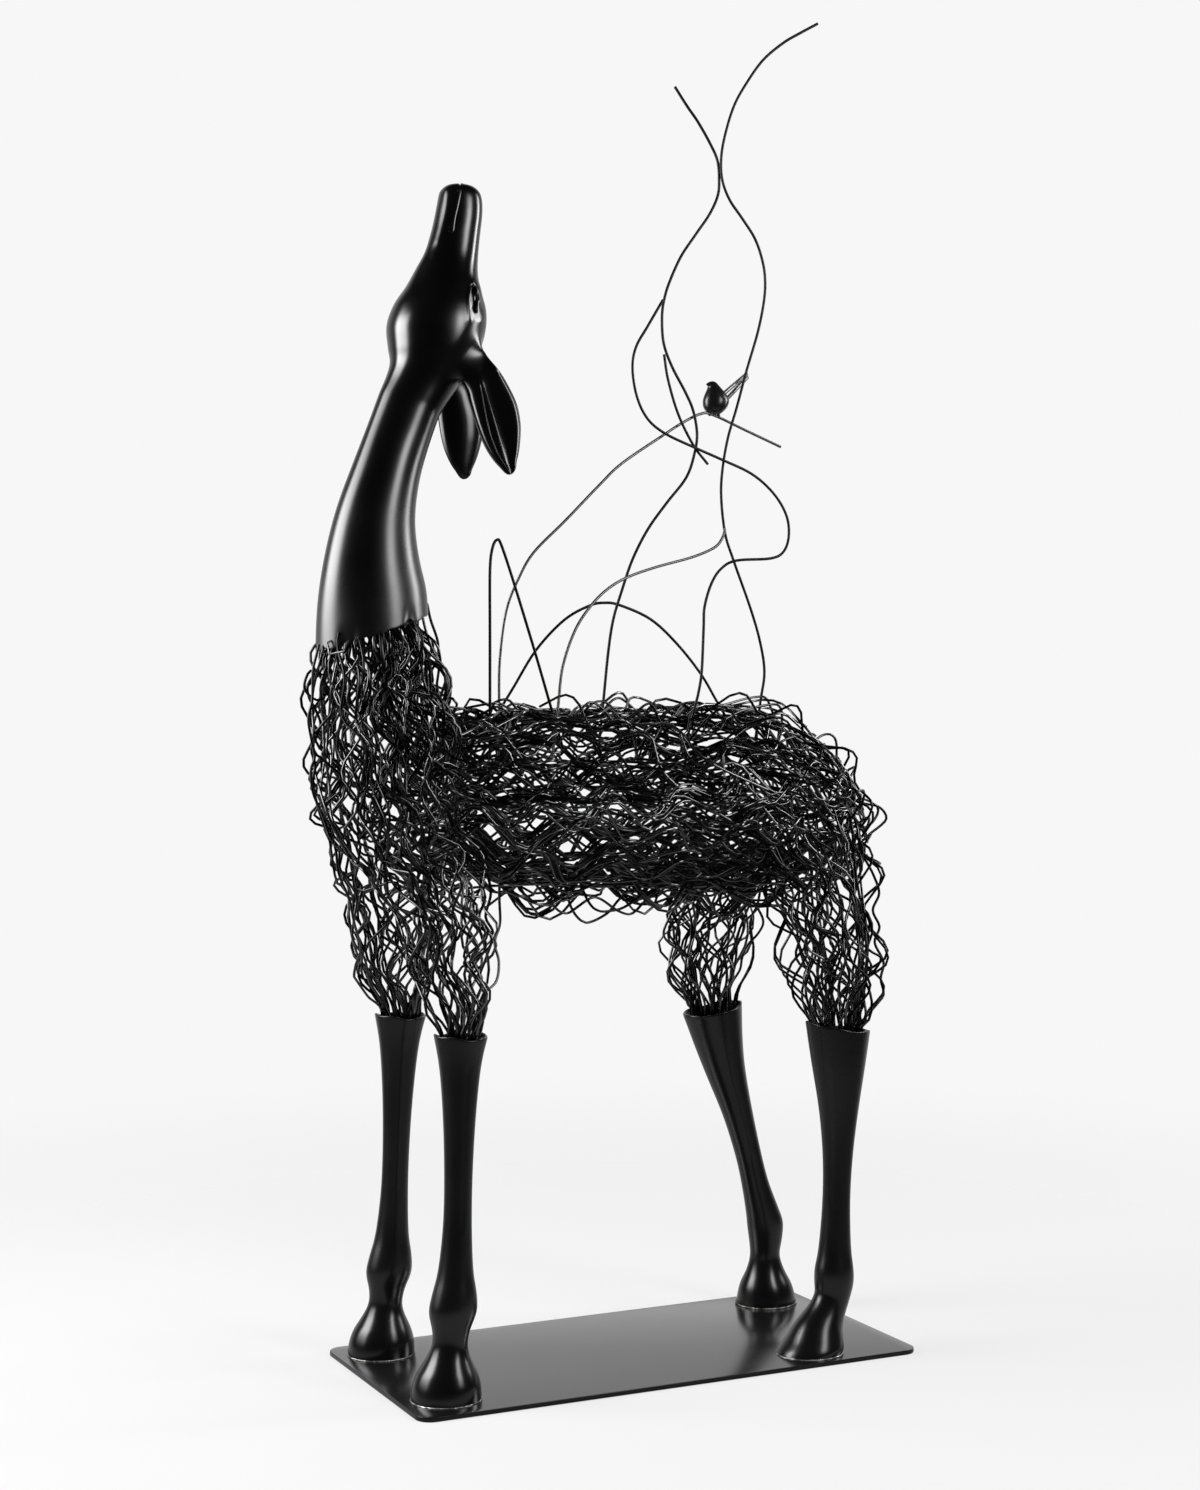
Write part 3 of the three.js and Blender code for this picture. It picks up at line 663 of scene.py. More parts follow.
# How square the sections are, and how far they narrow towards the jaw: [height, power, share].
SECTION_CHARACTER = [
    (1.24, 2.0, 0.00), (1.29, 2.15, 0.00), (1.33, 2.2, 0.04), (1.37, 2.1, 0.08),
    (1.41, 2.1, 0.08), (1.44, 2.15, 0.03), (1.49, 2.15, 0.00), (1.50, 2.1, 0.00),
]
NECK_WALL = 0.004
NECK_HOLLOW_TOP = 1.010
# Dents in the rim: [bearing round the neck in radians, depth].
RIM_DENTS = [(-2.48, 0.0045), (-2.32, 0.0035), (-1.05, 0.0040)]

head_rings = in_between([(x, 0, z, d, w, t) for x, z, d, w, t in HEAD_AND_NECK_FORM[:7]], 3)[:-1]
head_rings += in_between([(x, 0, z, d, w, t) for x, z, d, w, t in HEAD_AND_NECK_FORM[6:]], 5)
rim = head_rings[0]
hollow = [
    np.array((rim[0], 0, NECK_HOLLOW_TOP, rim[3] - 0.016, rim[4] - 0.014, 0)),
    np.array((rim[0], 0, rim[2] + 0.022, rim[3] - 0.0065, rim[4] - 0.0065, rim[5])),
    np.array((rim[0], 0, rim[2] + 0.0025, rim[3] - NECK_WALL, rim[4] - NECK_WALL, rim[5])),
    np.array((rim[0], 0, rim[2], rim[3] - NECK_WALL, rim[4] - NECK_WALL, rim[5])),
]
head_rings.insert(1, rim + (0, 0, 0.0025, 0, 0, 0))
head = draw_up_rings(hollow + head_rings, HEAD_RING)
head.name = "cast_head_and_neck"
bpy.ops.mesh.edge_face_add()
bpy.ops.object.mode_set(mode="OBJECT")
for v in head.data.vertices:
    v.select = v.index < HEAD_RING
for edge in head.data.edges:
    edge.select = all(i < HEAD_RING for i in edge.vertices)
bpy.ops.object.mode_set(mode="EDIT")
bpy.ops.mesh.edge_face_add()
bpy.ops.mesh.select_all(action="SELECT")
bpy.ops.mesh.normals_make_consistent(inside=False)
subdivide_smooth(head, 2)
bpy.ops.object.shade_smooth()

places, _ = vertex_arrays(head)
rows = np.array(HEAD_AND_NECK_FORM)
middle_x = np.interp(places[:, 2], rows[:, 1], rows[:, 0])
half_depth = np.interp(places[:, 2], rows[:, 1], rows[:, 2])
half_width = np.interp(places[:, 2], rows[:, 1], rows[:, 3])
heights, powers, shares = np.array(SECTION_CHARACTER).T
power = np.interp(places[:, 2], heights, powers)
narrowing = np.interp(places[:, 2], heights, shares)
deep, wide = (places[:, 0] - middle_x) / half_depth, places[:, 1] / half_width
squared = np.hypot(deep, wide) / np.maximum(abs(deep) ** power + abs(wide) ** power, 1e-9) ** (1 / power)
places[:, 0] += (squared - 1) * deep * half_depth
places[:, 1] *= squared * (1 + narrowing * np.clip(deep, -1, 1))
# The rim of the neck is cut by hand and dented where the wires are welded in.
above_rim = places[:, 2] - rim[2] - (places[:, 0] - rim[0]) * np.tan(radians(rim[5]))
around = np.arctan2(places[:, 1], places[:, 0] - rim[0])
ragged = 0.0013 * np.sin(3 * around + 1) + 0.0009 * np.sin(8 * around) + 0.0007 * np.sin(19 * around)
places[:, 2] += np.clip(1 - above_rim / 0.016, 0, 1) * ragged
for bearing, dent in RIM_DENTS:
    pushed = dent * np.exp(-(((around - bearing) / 0.10) ** 2)) * np.clip(1 - above_rim / 0.030, 0, 1) ** 2
    places[:, 0] -= pushed * np.cos(around)
    places[:, 1] -= pushed * np.sin(around)
put_vertices(head, places)


def swell(piece, centre, reach, push, both_sides=True):
    """Pushes a surface by a vector inside a soft ellipsoid; on the far side too, mirrored."""
    places, _ = vertex_arrays(piece)
    moved = places.copy()
    for side in (1, -1) if both_sides else (1,):
        flip = np.array((1, side, 1))
        inside = np.exp(-(((places - np.array(centre) * flip) / np.array(reach)) ** 2).sum(axis=1))
        moved += inside[:, None] * np.array(push) * flip
    put_vertices(piece, moved)


def press_both(piece, line, width, depth, offset=0):
    """Presses a groove or a ridge along a line and its mirror image, moved sideways by an offset."""
    for side in (1, -1):
        mirrored = [(x, y * side, z) for x, y, z in line]
        press_line(piece, beside(piece, mirrored, offset * side), width, depth)


def refine_near(piece, line, reach):
    """Gives the surface smaller faces near a line, for fine features."""
    bpy.ops.object.select_all(action="DESELECT")
    bpy.context.view_layer.objects.active = piece
    piece.select_set(True)
    for part in (piece.data.vertices, piece.data.edges):
        for element in part:
            element.select = False
    middles = np.array([face.center for face in piece.data.polygons])
    for face, near in zip(piece.data.polygons, distance_to_line(middles, line) < reach):
        face.select = near
    bpy.ops.object.mode_set(mode="EDIT")
    bpy.ops.mesh.select_mode(type="FACE")
    bpy.ops.mesh.subdivide(number_cuts=2, smoothness=1.0)
    bpy.ops.mesh.select_mode(type="VERT")
    bpy.ops.object.mode_set(mode="OBJECT")


# The mouth: a fine slit from the tip of the muzzle down each side, between a fuller lower lip and a step
# down to the upper one, and a soft corner along the chin.
MOUTH_SLIT = [
    (-0.2255, 0.000, 1.5030), (-0.2295, -0.009, 1.5000), (-0.2329, -0.0165, 1.4963),
    (-0.2368, -0.0209, 1.4878), (-0.2407, -0.0223, 1.4711), (-0.2448, -0.0225, 1.4547),
    (-0.2477, -0.0229, 1.4359),
]
MOUTH_CORNER = [(-0.2477, -0.0229, 1.4359), (-0.2511, -0.0245, 1.4206), (-0.2568, -0.028, 1.4073)]
CHIN_CORNER = [
    (-0.2480, -0.0120, 1.4900), (-0.2500, -0.0150, 1.4816), (-0.2516, -0.0162, 1.4663),
    (-0.2555, -0.0162, 1.4513), (-0.2621, -0.0160, 1.4273), (-0.2670, -0.0165, 1.4100),
]
press_both(head, CHIN_CORNER[:5], 0.0065, -0.0006)
press_both(head, CHIN_CORNER, 0.0075, -0.0007)
for side in (1, -1):
    refine_near(head, laid_on(head, [(x, y * side, z) for x, y, z in MOUTH_SLIT]), 0.0045)
press_both(head, MOUTH_SLIT, 0.0012, -0.0007, -0.0006)
press_both(head, MOUTH_SLIT[:4], 0.0010, 0.0012, 0.0012)
press_both(head, MOUTH_CORNER, 0.0026, 0.0006)


# The eyes: a brow over a deep almond opening, the ridge of the lower lid before it, a hollow temple behind
# it that ends at the cheek, and the eyeball inside.
EYE = (-0.2270, -0.0450, 1.3530)
EYEBALL_SIZE = (0.0080, 0.0080, 0.0120)
EYEBALL_SET_BACK = (0.0015, 0.0110)
BROW = (-0.2120, -0.0360, 1.3700)
BROW_REACH = (0.014, 0.014, 0.010)
BROW_PUSH = (0.0010, -0.0016, 0)
LOWER_LID = [
    (-0.2262, -0.0400, 1.3735), (-0.2330, -0.0450, 1.3625), (-0.2375, -0.0490, 1.3520),
    (-0.2385, -0.0520, 1.3410), (-0.2378, -0.0545, 1.3250),
]
EYE_OPENING = [(-0.2262, -0.0410, 1.3680), (-0.2262, -0.0440, 1.3530), (-0.2290, -0.0465, 1.3400)]
UPPER_LID = [(-0.2230, -0.0405, 1.3690), (-0.2185, -0.0400, 1.3620), (-0.2180, -0.0420, 1.3530)]
TEMPLE = [(-0.2250, -0.0500, 1.3345), (-0.2180, -0.0460, 1.3400), (-0.2100, -0.0380, 1.3480)]
for side in (1, -1):
    refine_near(head, [(EYE[0], EYE[1] * side, EYE[2] + shift) for shift in (-0.012, 0.006)], 0.019)
swell(head, BROW, BROW_REACH, BROW_PUSH)
press_both(head, TEMPLE, 0.0085, 0.0014)
press_both(head, LOWER_LID, 0.0032, -0.0009)
press_both(head, UPPER_LID, 0.0018, -0.0010)
press_both(head, EYE_OPENING, 0.0032, 0.0050)


# An ear is drawn as a plain tube and then laid out along its length: how far along, where the inner edge
# and the outer edge lie, how deep it is at its back, and how strong its folds are.
EAR_ROOT = np.array((-0.223, -0.038, 1.290))
EAR_ALONG = np.array((0.226, -0.207, -0.956))
EAR_ALONG /= np.linalg.norm(EAR_ALONG)
EAR_FORM = [
    (-0.030, -0.0120, 0.0030, 0.0080, 0.00),
    (-0.020, -0.0150, 0.0045, 0.0110, 0.00),
    (-0.008, -0.0195, 0.0080, 0.0150, 0.00),
    (0.004, -0.0230, 0.0115, 0.0170, 0.00),
    (0.016, -0.0255, 0.0164, 0.0165, 0.35),
    (0.034, -0.0272, 0.0216, 0.0150, 0.90),
    (0.055, -0.0262, 0.0265, 0.0145, 1.00),
    (0.080, -0.0264, 0.0300, 0.0140, 1.00),
    (0.104, -0.0255, 0.0276, 0.0130, 1.00),
    (0.122, -0.0230, 0.0220, 0.0110, 0.95),
    (0.138, -0.0184, 0.0150, 0.0085, 0.85),
    (0.149, -0.0133, 0.0087, 0.0062, 0.60),
    (0.1555, -0.0102, 0.0058, 0.0044, 0.35),
    (0.1592, -0.0076, 0.0024, 0.0026, 0.15),
    (0.1610, -0.0048, -0.0008, 0.0010, 0.05),
]
# The two steps of the fold inside the ear: [how far along, place across of each].
EAR_FOLD = [
    (0.000, 0.0004, 0.0018), (0.016, -0.0012, 0.0003), (0.027, -0.0050, -0.0012), (0.049, -0.0072, -0.0032),
    (0.071, -0.0096, -0.0028), (0.090, -0.0116, -0.0030), (0.111, -0.0124, -0.0034),
    (0.131, -0.0110, -0.0042), (0.146, -0.0072, -0.0044), (0.1560, -0.0042, -0.0030),
    (0.1605, -0.0033, -0.0028),
]
# The front of an ear has 17 places from edge to edge, with 5 steps to each gap, and its back has the rest.
EAR_GAPS = 16
EAR_STEPS = 5
EAR_RING = 120


def ear_front(along, inner, outer, strength):
    """The front of an ear from edge to edge: a rolled lip, two fine steps, the bowl and a raised rim."""
    fold = np.array(EAR_FOLD)
    first, second = np.interp(along, fold[:, 0], fold[:, 1]), np.interp(along, fold[:, 0], fold[:, 2])
    lip, bowl, step = first - inner, outer - second, 0.001 * min((outer - inner) / 0.040, 1)
    nodes = np.array([
        (inner, -0.0050), (inner + 0.04 * lip, -0.0024), (inner + 0.18 * lip, 0.0012),
        (inner + 0.42 * lip, 0.0038), (inner + 0.70 * lip, 0.0047), (first - step, 0.0047),
        (first, 0.0044), (first + step, 0.0034), ((first + second + step) / 2, 0.0033),
        (second - step / 2, 0.0036), (second + step / 5, 0.0032), (second + 1.4 * step, 0.0020),
        (second + 0.30 * bowl, -0.0002), (second + 0.68 * bowl, -0.0002),
        (second + 0.88 * bowl, 0.0014), (second + 0.97 * bowl, 0.0040), (outer, 0.0026),
    ])
    plain = 0.003 * np.sin(pi * np.linspace(0, 1, EAR_GAPS + 1)) ** 0.6
    nodes[:, 1] = strength * nodes[:, 1] + (1 - strength) * plain
    return np.array(in_between(nodes, EAR_STEPS))


def cast_ear(side, ear_along, facing, width, length):
    """An ear that hangs along a direction with its bowl facing another; side is -1 for the far ear."""
    across_ear = np.cross(facing, ear_along)
    rings = in_between(EAR_FORM, EAR_STEPS)
    ear = draw_up_rings([(0, 0, i, 1, 1, 0) for i in range(len(rings))], EAR_RING)
    close_tube(ear, 0.5, inside_out=side > 0)
    places, _ = vertex_arrays(ear)
    levels = np.round(places[:, 2]).astype(int)
    turns = np.arctan2(places[:, 1], places[:, 0]) / (2 * pi)
    steps = np.round(turns * EAR_RING).astype(int) % EAR_RING
    front_steps = EAR_GAPS * EAR_STEPS + 1
    share = (EAR_RING - np.arange(front_steps, EAR_RING)) / (EAR_RING - front_steps + 1)
    for i, (along, inner, outer, back, strength) in enumerate(rings):
        front = ear_front(along, inner * width, outer * width, strength)
        bowed = 0.92 * (1 - 0.62 * (2 * share - 1) ** 2 - 0.38 * (2 * share - 1) ** 8)
        behind = np.column_stack([
            front[0, 0] + (front[-1, 0] - front[0, 0]) * share,
            front[0, 1] + (front[-1, 1] - front[0, 1]) * share - back * bowed,
        ])
        outline = np.vstack([front, behind])
        outline[:, 1] += 0.005 * sin(pi * min(max(along / 0.16, 0), 1))
        ring = levels == i
        across, height = outline[steps[ring]].T
        places[ring] = (
            EAR_ROOT + ear_along * along * length + np.outer(across, across_ear) + np.outer(height, facing)
        )
    places[:, 1] *= side
    put_vertices(ear, places)
    return ear


def unite(piece, others):
    """Casts pieces together and gives the places along their seams."""
    bpy.ops.object.mode_set(mode="OBJECT")
    old = KDTree(sum(len(part.data.vertices) for part in [piece, *others]))
    for part in [piece, *others]:
        for v in part.data.vertices:
            old.insert(v.co, 0)
    old.balance()
    for other in others:
        modifier = piece.modifiers.new("cast_together", "BOOLEAN")
        modifier.operation = "UNION"
        modifier.solver = "EXACT"
        modifier.object = other
        bpy.ops.object.select_all(action="DESELECT")
        bpy.context.view_layer.objects.active = piece
        piece.select_set(True)
        bpy.ops.object.modifier_apply(modifier=modifier.name)
        bpy.data.objects.remove(other)
    return [v.co.copy() for v in piece.data.vertices if old.find(v.co)[2] > 1e-6]


def smooth_near(piece, seam, reach, times):
    """Relaxes a surface near a seam, as a fillet is rubbed smooth."""
    tree = KDTree(len(seam))
    for i, point in enumerate(seam):
        tree.insert(point, i)
    tree.balance()
    places, _ = vertex_arrays(piece)
    near = np.array([np.exp(-((tree.find(v.co)[2] / reach) ** 2)) for v in piece.data.vertices])
    pairs = np.empty(len(piece.data.edges) * 2, int)
    piece.data.edges.foreach_get("vertices", pairs)
    pairs = pairs.reshape(-1, 2)
    pairs = pairs[(near[pairs] > 0.01).any(axis=1)]
    weights = 1 / np.maximum(np.linalg.norm(places[pairs[:, 0]] - places[pairs[:, 1]], axis=1), 2e-4)
    ends, others = pairs.T.ravel(), pairs[:, ::-1].T.ravel()
    both = np.tile(weights, 2)
    totals = np.maximum(np.bincount(ends, both, len(places)), 1e-9)[:, None]
    for _ in range(times):
        pull = np.column_stack([np.bincount(ends, both * places[others, k], len(places)) for k in range(3)])
        places += (pull / totals - places) * np.where(totals > 1e-9, near[:, None], 0) * 0.6
    put_vertices(piece, places)


WEB_PLACE = (-0.2400, -0.0300, 1.2920)
WEB_WIDTH, WEB_THICKNESS, WEB_LENGTH = 0.030, 0.0120, 0.041
FILLET_REACH = 0.012


def cast_web(side, facing):
    """The thick web that joins the root of an ear to the skull and the neck."""
    bpy.ops.object.select_all(action="DESELECT")
    bpy.ops.mesh.primitive_uv_sphere_add(segments=64, ring_count=40, radius=1)
    web = bpy.context.object
    places, _ = vertex_arrays(web)
    across = np.cross(facing, EAR_ALONG)
    axes = np.array((across * WEB_WIDTH, facing * WEB_THICKNESS, EAR_ALONG * WEB_LENGTH))
    put_vertices(web, (places @ axes + WEB_PLACE) * (1, side, 1))
    if side > 0:
        web.data.flip_normals()
    return web


# The near ear is turned to the front, the far one a little back.
TO_THE_FRONT = np.array((-0.455, -0.886, 0.086))
FAR_EAR_ALONG = np.array((0.160, -0.070, -0.985))
TO_THE_BACK = np.array((0.265, -0.935, 0.0))
TO_THE_BACK -= FAR_EAR_ALONG * (TO_THE_BACK @ FAR_EAR_ALONG)
TO_THE_BACK /= np.linalg.norm(TO_THE_BACK)
near_ear = cast_ear(1, EAR_ALONG, TO_THE_FRONT, 1.0, 1.0)
far_ear = cast_ear(-1, FAR_EAR_ALONG, TO_THE_BACK, 1.03, 0.955)
webs = [cast_web(1, TO_THE_FRONT), cast_web(-1, TO_THE_FRONT)]
seam = unite(head, [*webs, near_ear, far_ear])
smooth_near(head, seam, FILLET_REACH, 320)
bpy.ops.object.shade_smooth()


def eyeball(side):
    """The ball of an eye, set back in its opening."""
    bpy.ops.object.select_all(action="DESELECT")
    bpy.ops.mesh.primitive_uv_sphere_add(segments=32, ring_count=20, radius=1)
    ball = bpy.context.object
    places, _ = vertex_arrays(ball)
    centre = (EYE[0] + EYEBALL_SET_BACK[0], (EYE[1] + EYEBALL_SET_BACK[1]) * side, EYE[2])
    put_vertices(ball, places * EYEBALL_SIZE + centre)
    bpy.ops.object.shade_smooth()
    return ball


def join_to(piece, others):
    """Makes one piece of several."""
    bpy.ops.object.select_all(action="DESELECT")
    for part in [*others, piece]:
        part.select_set(True)
    bpy.context.view_layer.objects.active = piece
    bpy.ops.object.join()


join_to(head, [eyeball(1), eyeball(-1)])
# The gloss is deepest on the head and softens down the neck.
HEAD_FINISH = black_paint(
    "head_gloss_black", shade=0.0005, roughness=0.20, spread=0.03,
    peel_size=0.005, peel_height=0.000003, shine=0.34,
)
gloss_by_height(HEAD_FINISH, 0.92, 1.20, 1.6, 1.0)
head.data.materials.append(HEAD_FINISH)
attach(head, "root")
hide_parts("head_and_neck")


# ---------------------------------------------------------------- tall wires
# Eight bent steel wires rise from the back like stems. Each runs down among the body wires, where it is
# welded, and crosses the others; they are a little thicker than the body wires, and cut square at the top.
TALL_WIRE_RADIUS = 0.0019
RUN_INTO_BODY = 0.070
BODY_TOP = 0.865
TALL_WIRES = {
    "tall_wire_hairpin": [
        (-0.197, -0.022, 0.85), (-0.196, -0.02, 0.94), (-0.195, -0.018, 1.02), (-0.191, -0.017, 1.048),
        (-0.184, -0.015, 1.058), (-0.177, -0.013, 1.051), (-0.157, -0.008, 1.002), (-0.125, 0, 0.917),
        (-0.102, 0.008, 0.856),
    ],
    "tall_wire_perch": [
        (-0.169, 0.014, 0.85), (-0.168, 0.014, 0.906), (-0.159, 0.014, 0.969), (-0.142, 0.013, 1.011),
        (-0.121, 0.012, 1.045), (-0.077, 0.01, 1.087), (-0.029, 0.009, 1.134), (0.003, 0.008, 1.163),
        (0.065, 0.008, 1.203), (0.091, 0.008, 1.219), (0.118, 0.009, 1.232), (0.137, 0.009, 1.232),
        (0.193, 0.014, 1.213), (0.247, 0.02, 1.195),
    ],
    "tall_wire_arch": [
        (-0.156, 0.034, 0.848), (-0.14, 0.034, 0.872), (-0.109, 0.032, 0.92), (-0.07, 0.03, 0.959),
        (-0.035, 0.027, 0.978), (-0.014, 0.025, 0.982), (0.008, 0.024, 0.979), (0.052, 0.022, 0.961),
        (0.091, 0.022, 0.929), (0.128, 0.024, 0.889), (0.154, 0.028, 0.853),
    ],
    "tall_wire_branch": [
        (-0.108, -0.034, 0.85), (-0.1, -0.03, 0.898), (-0.081, -0.026, 0.944), (-0.058, -0.023, 0.975),
        (-0.032, -0.02, 0.998), (-0.002, -0.018, 1.014), (0.041, -0.015, 1.028), (0.095, -0.012, 1.042),
        (0.129, -0.009, 1.055), (0.142, -0.0076, 1.067), (0.147, -0.0076, 1.081),
    ],
    "tall_wire_left": [
        (-0.026, 0.004, 0.854), (-0.018, 0.006, 0.918), (-0.011, 0.006, 0.959), (0, 0.006, 0.993),
        (0.017, 0.006, 1.038), (0.039, 0.005, 1.078), (0.066, 0.004, 1.113), (0.095, 0.003, 1.148),
        (0.107, 0.0022, 1.182), (0.11, 0.0022, 1.207), (0.104, 0.0022, 1.236), (0.092, 0.0022, 1.26),
        (0.073, 0.0022, 1.291), (0.061, 0.003, 1.321), (0.059, 0.004, 1.353), (0.062, 0.005, 1.375),
        (0.069, 0.004, 1.399), (0.086, 0.003, 1.435), (0.107, 0.002, 1.465), (0.128, 0.0014, 1.494),
        (0.14, 0.0012, 1.519), (0.142, 0.0012, 1.54), (0.14, 0.002, 1.565), (0.13, 0.005, 1.588),
        (0.115, 0.01, 1.615), (0.101, 0.014, 1.635), (0.086, 0.02, 1.66),
    ],
    "tall_wire_right": [
        (0.203, -0.004, 0.852), (0.209, -0.004, 0.892), (0.202, -0.004, 0.933), (0.187, -0.004, 0.978),
        (0.162, -0.004, 1.039), (0.149, -0.004, 1.075), (0.143, -0.004, 1.123), (0.145, -0.004, 1.16),
        (0.153, -0.004, 1.201), (0.166, -0.004, 1.241), (0.181, -0.004, 1.291), (0.198, -0.004, 1.343),
        (0.207, -0.004, 1.383), (0.209, -0.004, 1.411), (0.205, -0.004, 1.437), (0.194, -0.003, 1.466),
        (0.174, -0.003, 1.492), (0.156, -0.0026, 1.514), (0.145, -0.0023, 1.539),
        (0.143, -0.0026, 1.567), (0.148, -0.004, 1.598), (0.159, -0.008, 1.636), (0.175, -0.012, 1.666),
        (0.197, -0.018, 1.698), (0.224, -0.024, 1.722), (0.246, -0.03, 1.736), (0.27, -0.036, 1.75),
    ],
    "tall_wire_s_curve": [
        (0.086, -0.039, 0.848), (0.091, -0.038, 0.864), (0.097, -0.036, 0.892), (0.103, -0.03, 0.949),
        (0.106, -0.027, 0.977), (0.119, -0.022, 1.008), (0.136, -0.018, 1.028), (0.161, -0.014, 1.039),
        (0.214, -0.012, 1.043), (0.234, -0.012, 1.053), (0.241, -0.013, 1.075), (0.236, -0.014, 1.102),
        (0.216, -0.014, 1.13), (0.184, -0.013, 1.154), (0.139, -0.01, 1.172), (0.099, -0.0066, 1.187),
        (0.06, -0.003, 1.203), (0.035, -0.002, 1.221), (0.02, -0.001, 1.249), (0.014, 0, 1.285),
        (0.019, 0, 1.313), (0.037, 0.001, 1.342), (0.059, 0.0013, 1.377),
    ],
    "tall_wire_twig": [
        (0.059, -0.002, 1.306), (0.065, -0.002, 1.273), (0.08, -0.002, 1.229), (0.102, -0.0022, 1.19),
        (0.123, -0.004, 1.165),
    ],
}


def wires_to_piece(name, wires, radius, sides_level):
    """Makes one mesh of round wires from their centre lines; a higher level gives rounder wires."""
    curve = bpy.data.curves.new(name, "CURVE")
    curve.dimensions = "3D"
    curve.bevel_depth = radius
    curve.bevel_resolution = sides_level
    curve.use_fill_caps = True
    for wire in wires:
        spline = curve.splines.new("POLY")
        spline.points.add(len(wire) - 1)
        flat = np.ones((len(wire), 4))
        flat[:, :3] = wire
        spline.points.foreach_set("co", flat.ravel())
    piece = bpy.data.objects.new(name, curve)
    bpy.context.scene.collection.objects.link(piece)
    bpy.ops.object.select_all(action="DESELECT")
    piece.select_set(True)
    bpy.context.view_layer.objects.active = piece
    bpy.ops.object.convert(target="MESH")
    piece = bpy.context.object
    bpy.ops.object.shade_smooth()
    return piece


def bent_route(points):
    """A smooth route through the points, run on into the body at each end that stands on it."""
    points = [np.array(point) for point in points]
    for last, before, place in ((points[0], points[1], 0), (points[-1], points[-2], len(points))):
        if last[2] < BODY_TOP:
            away = (last - before) / np.linalg.norm(last - before)
            points.insert(place if place == 0 else len(points), last + away * RUN_INTO_BODY)
    return in_between(points, 6)


TALL_WIRE_FINISH = black_paint(
    "tall_wire_black", shade=0.0008, roughness=0.32, spread=0.05,
    peel_size=0.0008, peel_height=0.00002, shine=0.12,
)
# The perch and the branch are painted a lighter grey, a painted sheen, and they also reflect more strongly.
PAINTED_SHEEN_WIRE_FINISH = black_paint(
    "tall_wire_painted_sheen", shade=0.0100, roughness=0.30, spread=0.05,
    peel_size=0.0008, peel_height=0.00002, shine=0.8,
)
PAINTED_SHEEN_WIRES = ("tall_wire_perch", "tall_wire_branch")
for node, points in TALL_WIRES.items():
    name = node.replace("tall_wire", "bent_wire")
    piece = wires_to_piece(name, [bent_route(points)], TALL_WIRE_RADIUS, 2)
    piece.data.materials.append(PAINTED_SHEEN_WIRE_FINISH if node in PAINTED_SHEEN_WIRES else TALL_WIRE_FINISH)
    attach(piece, "root")
    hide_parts(node)


# ---------------------------------------------------------------- bird
# A small solid bird with its head up, cast in one with its beak, and welded by two short feet to the perch
# wire. Its tail is two flat bars let into its back.
BIRD_FOOT = np.array((0.1401, 0.0090, 1.2323))
# [shift forward, height, half depth, half width]
BIRD_FORM = [
    (0.0009, 0.0000, 0.0043, 0.0041),
    (0.0000, 0.0018, 0.0091, 0.0085),
    (0.0000, 0.0045, 0.0126, 0.0115),
    (0.0006, 0.0090, 0.0162, 0.0148),
    (0.0018, 0.0155, 0.0185, 0.0165),
    (0.0022, 0.0215, 0.0181, 0.0160),
    (0.0012, 0.0285, 0.0142, 0.0129),
    (-0.0004, 0.0350, 0.0094, 0.0090),
    (-0.0026, 0.0400, 0.0067, 0.0067),
    (-0.0034, 0.0426, 0.0050, 0.0048),
    (-0.0036, 0.0440, 0.0016, 0.0016),
]
BEAK_PLACE = (-0.0090, 0, 0.0404)
BEAK_REACH = (0.0040, 0.0030, 0.0026)
BEAK_PULL = (-0.0038, 0, -0.0008)
BIRD_FOOT_RADIUS = 0.0022
BIRD_FOOT_STRETCH = (1, 1, 1.4)
TAIL_BAR = (0.0515, 0.0060, 0.0050)
# [where it starts, rise in degrees, turn in degrees]
TAIL_BARS = [((0.0094, -0.0015, 0.0255), 38, 3), ((0.0145, 0.0040, 0.0165), 45, -5)]

bird_rings = [
    (BIRD_FOOT[0] + shift, BIRD_FOOT[1], BIRD_FOOT[2] + up, depth, width, 0)
    for shift, up, depth, width in BIRD_FORM
]
bird = draw_up_rings(bird_rings, 20)
bird.name = "cast_bird"
close_tube(bird, 0.0002)
subdivide_smooth(bird, 3)
swell(bird, BIRD_FOOT + BEAK_PLACE, BEAK_REACH, BEAK_PULL, both_sides=False)
bpy.ops.object.shade_smooth()


def bar(size, start, rise, turn):
    """A flat bar with rounded edges that runs up and back from where it starts."""
    bpy.ops.object.select_all(action="DESELECT")
    bpy.ops.mesh.primitive_cube_add(size=1, location=(size[0] / 2, 0, 0), scale=size)
    piece = bpy.context.object
    bpy.ops.object.transform_apply(location=True, rotation=True, scale=True)
    bpy.ops.object.mode_set(mode="EDIT")
    bpy.ops.mesh.select_all(action="SELECT")
    bpy.ops.mesh.bevel(offset=size[2] * 0.35, segments=3, affect="EDGES")
    bpy.ops.object.mode_set(mode="OBJECT")
    piece.rotation_euler = (0, -radians(rise), radians(turn))
    piece.location = start
    bpy.ops.object.transform_apply(location=True, rotation=True, scale=True)
    bpy.ops.object.shade_smooth_by_angle(angle=radians(50))
    return piece


tail, other_bar = [bar(TAIL_BAR, BIRD_FOOT + start, rise, turn) for start, rise, turn in TAIL_BARS]
join_to(tail, [other_bar])
tail.name = "bird_tail_bars"
# The tail bars are painted a lighter grey, a painted sheen, and they reflect strongly as well.
TAIL_PAINTED_SHEEN_FINISH = black_paint(
    "bird_tail_painted_sheen", shade=0.028, roughness=0.35, spread=0.05,
    peel_size=0.0012, peel_height=0.00002, shine=1.0,
)
tail.data.materials.append(TAIL_PAINTED_SHEEN_FINISH)
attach(tail, "root")
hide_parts("bird")


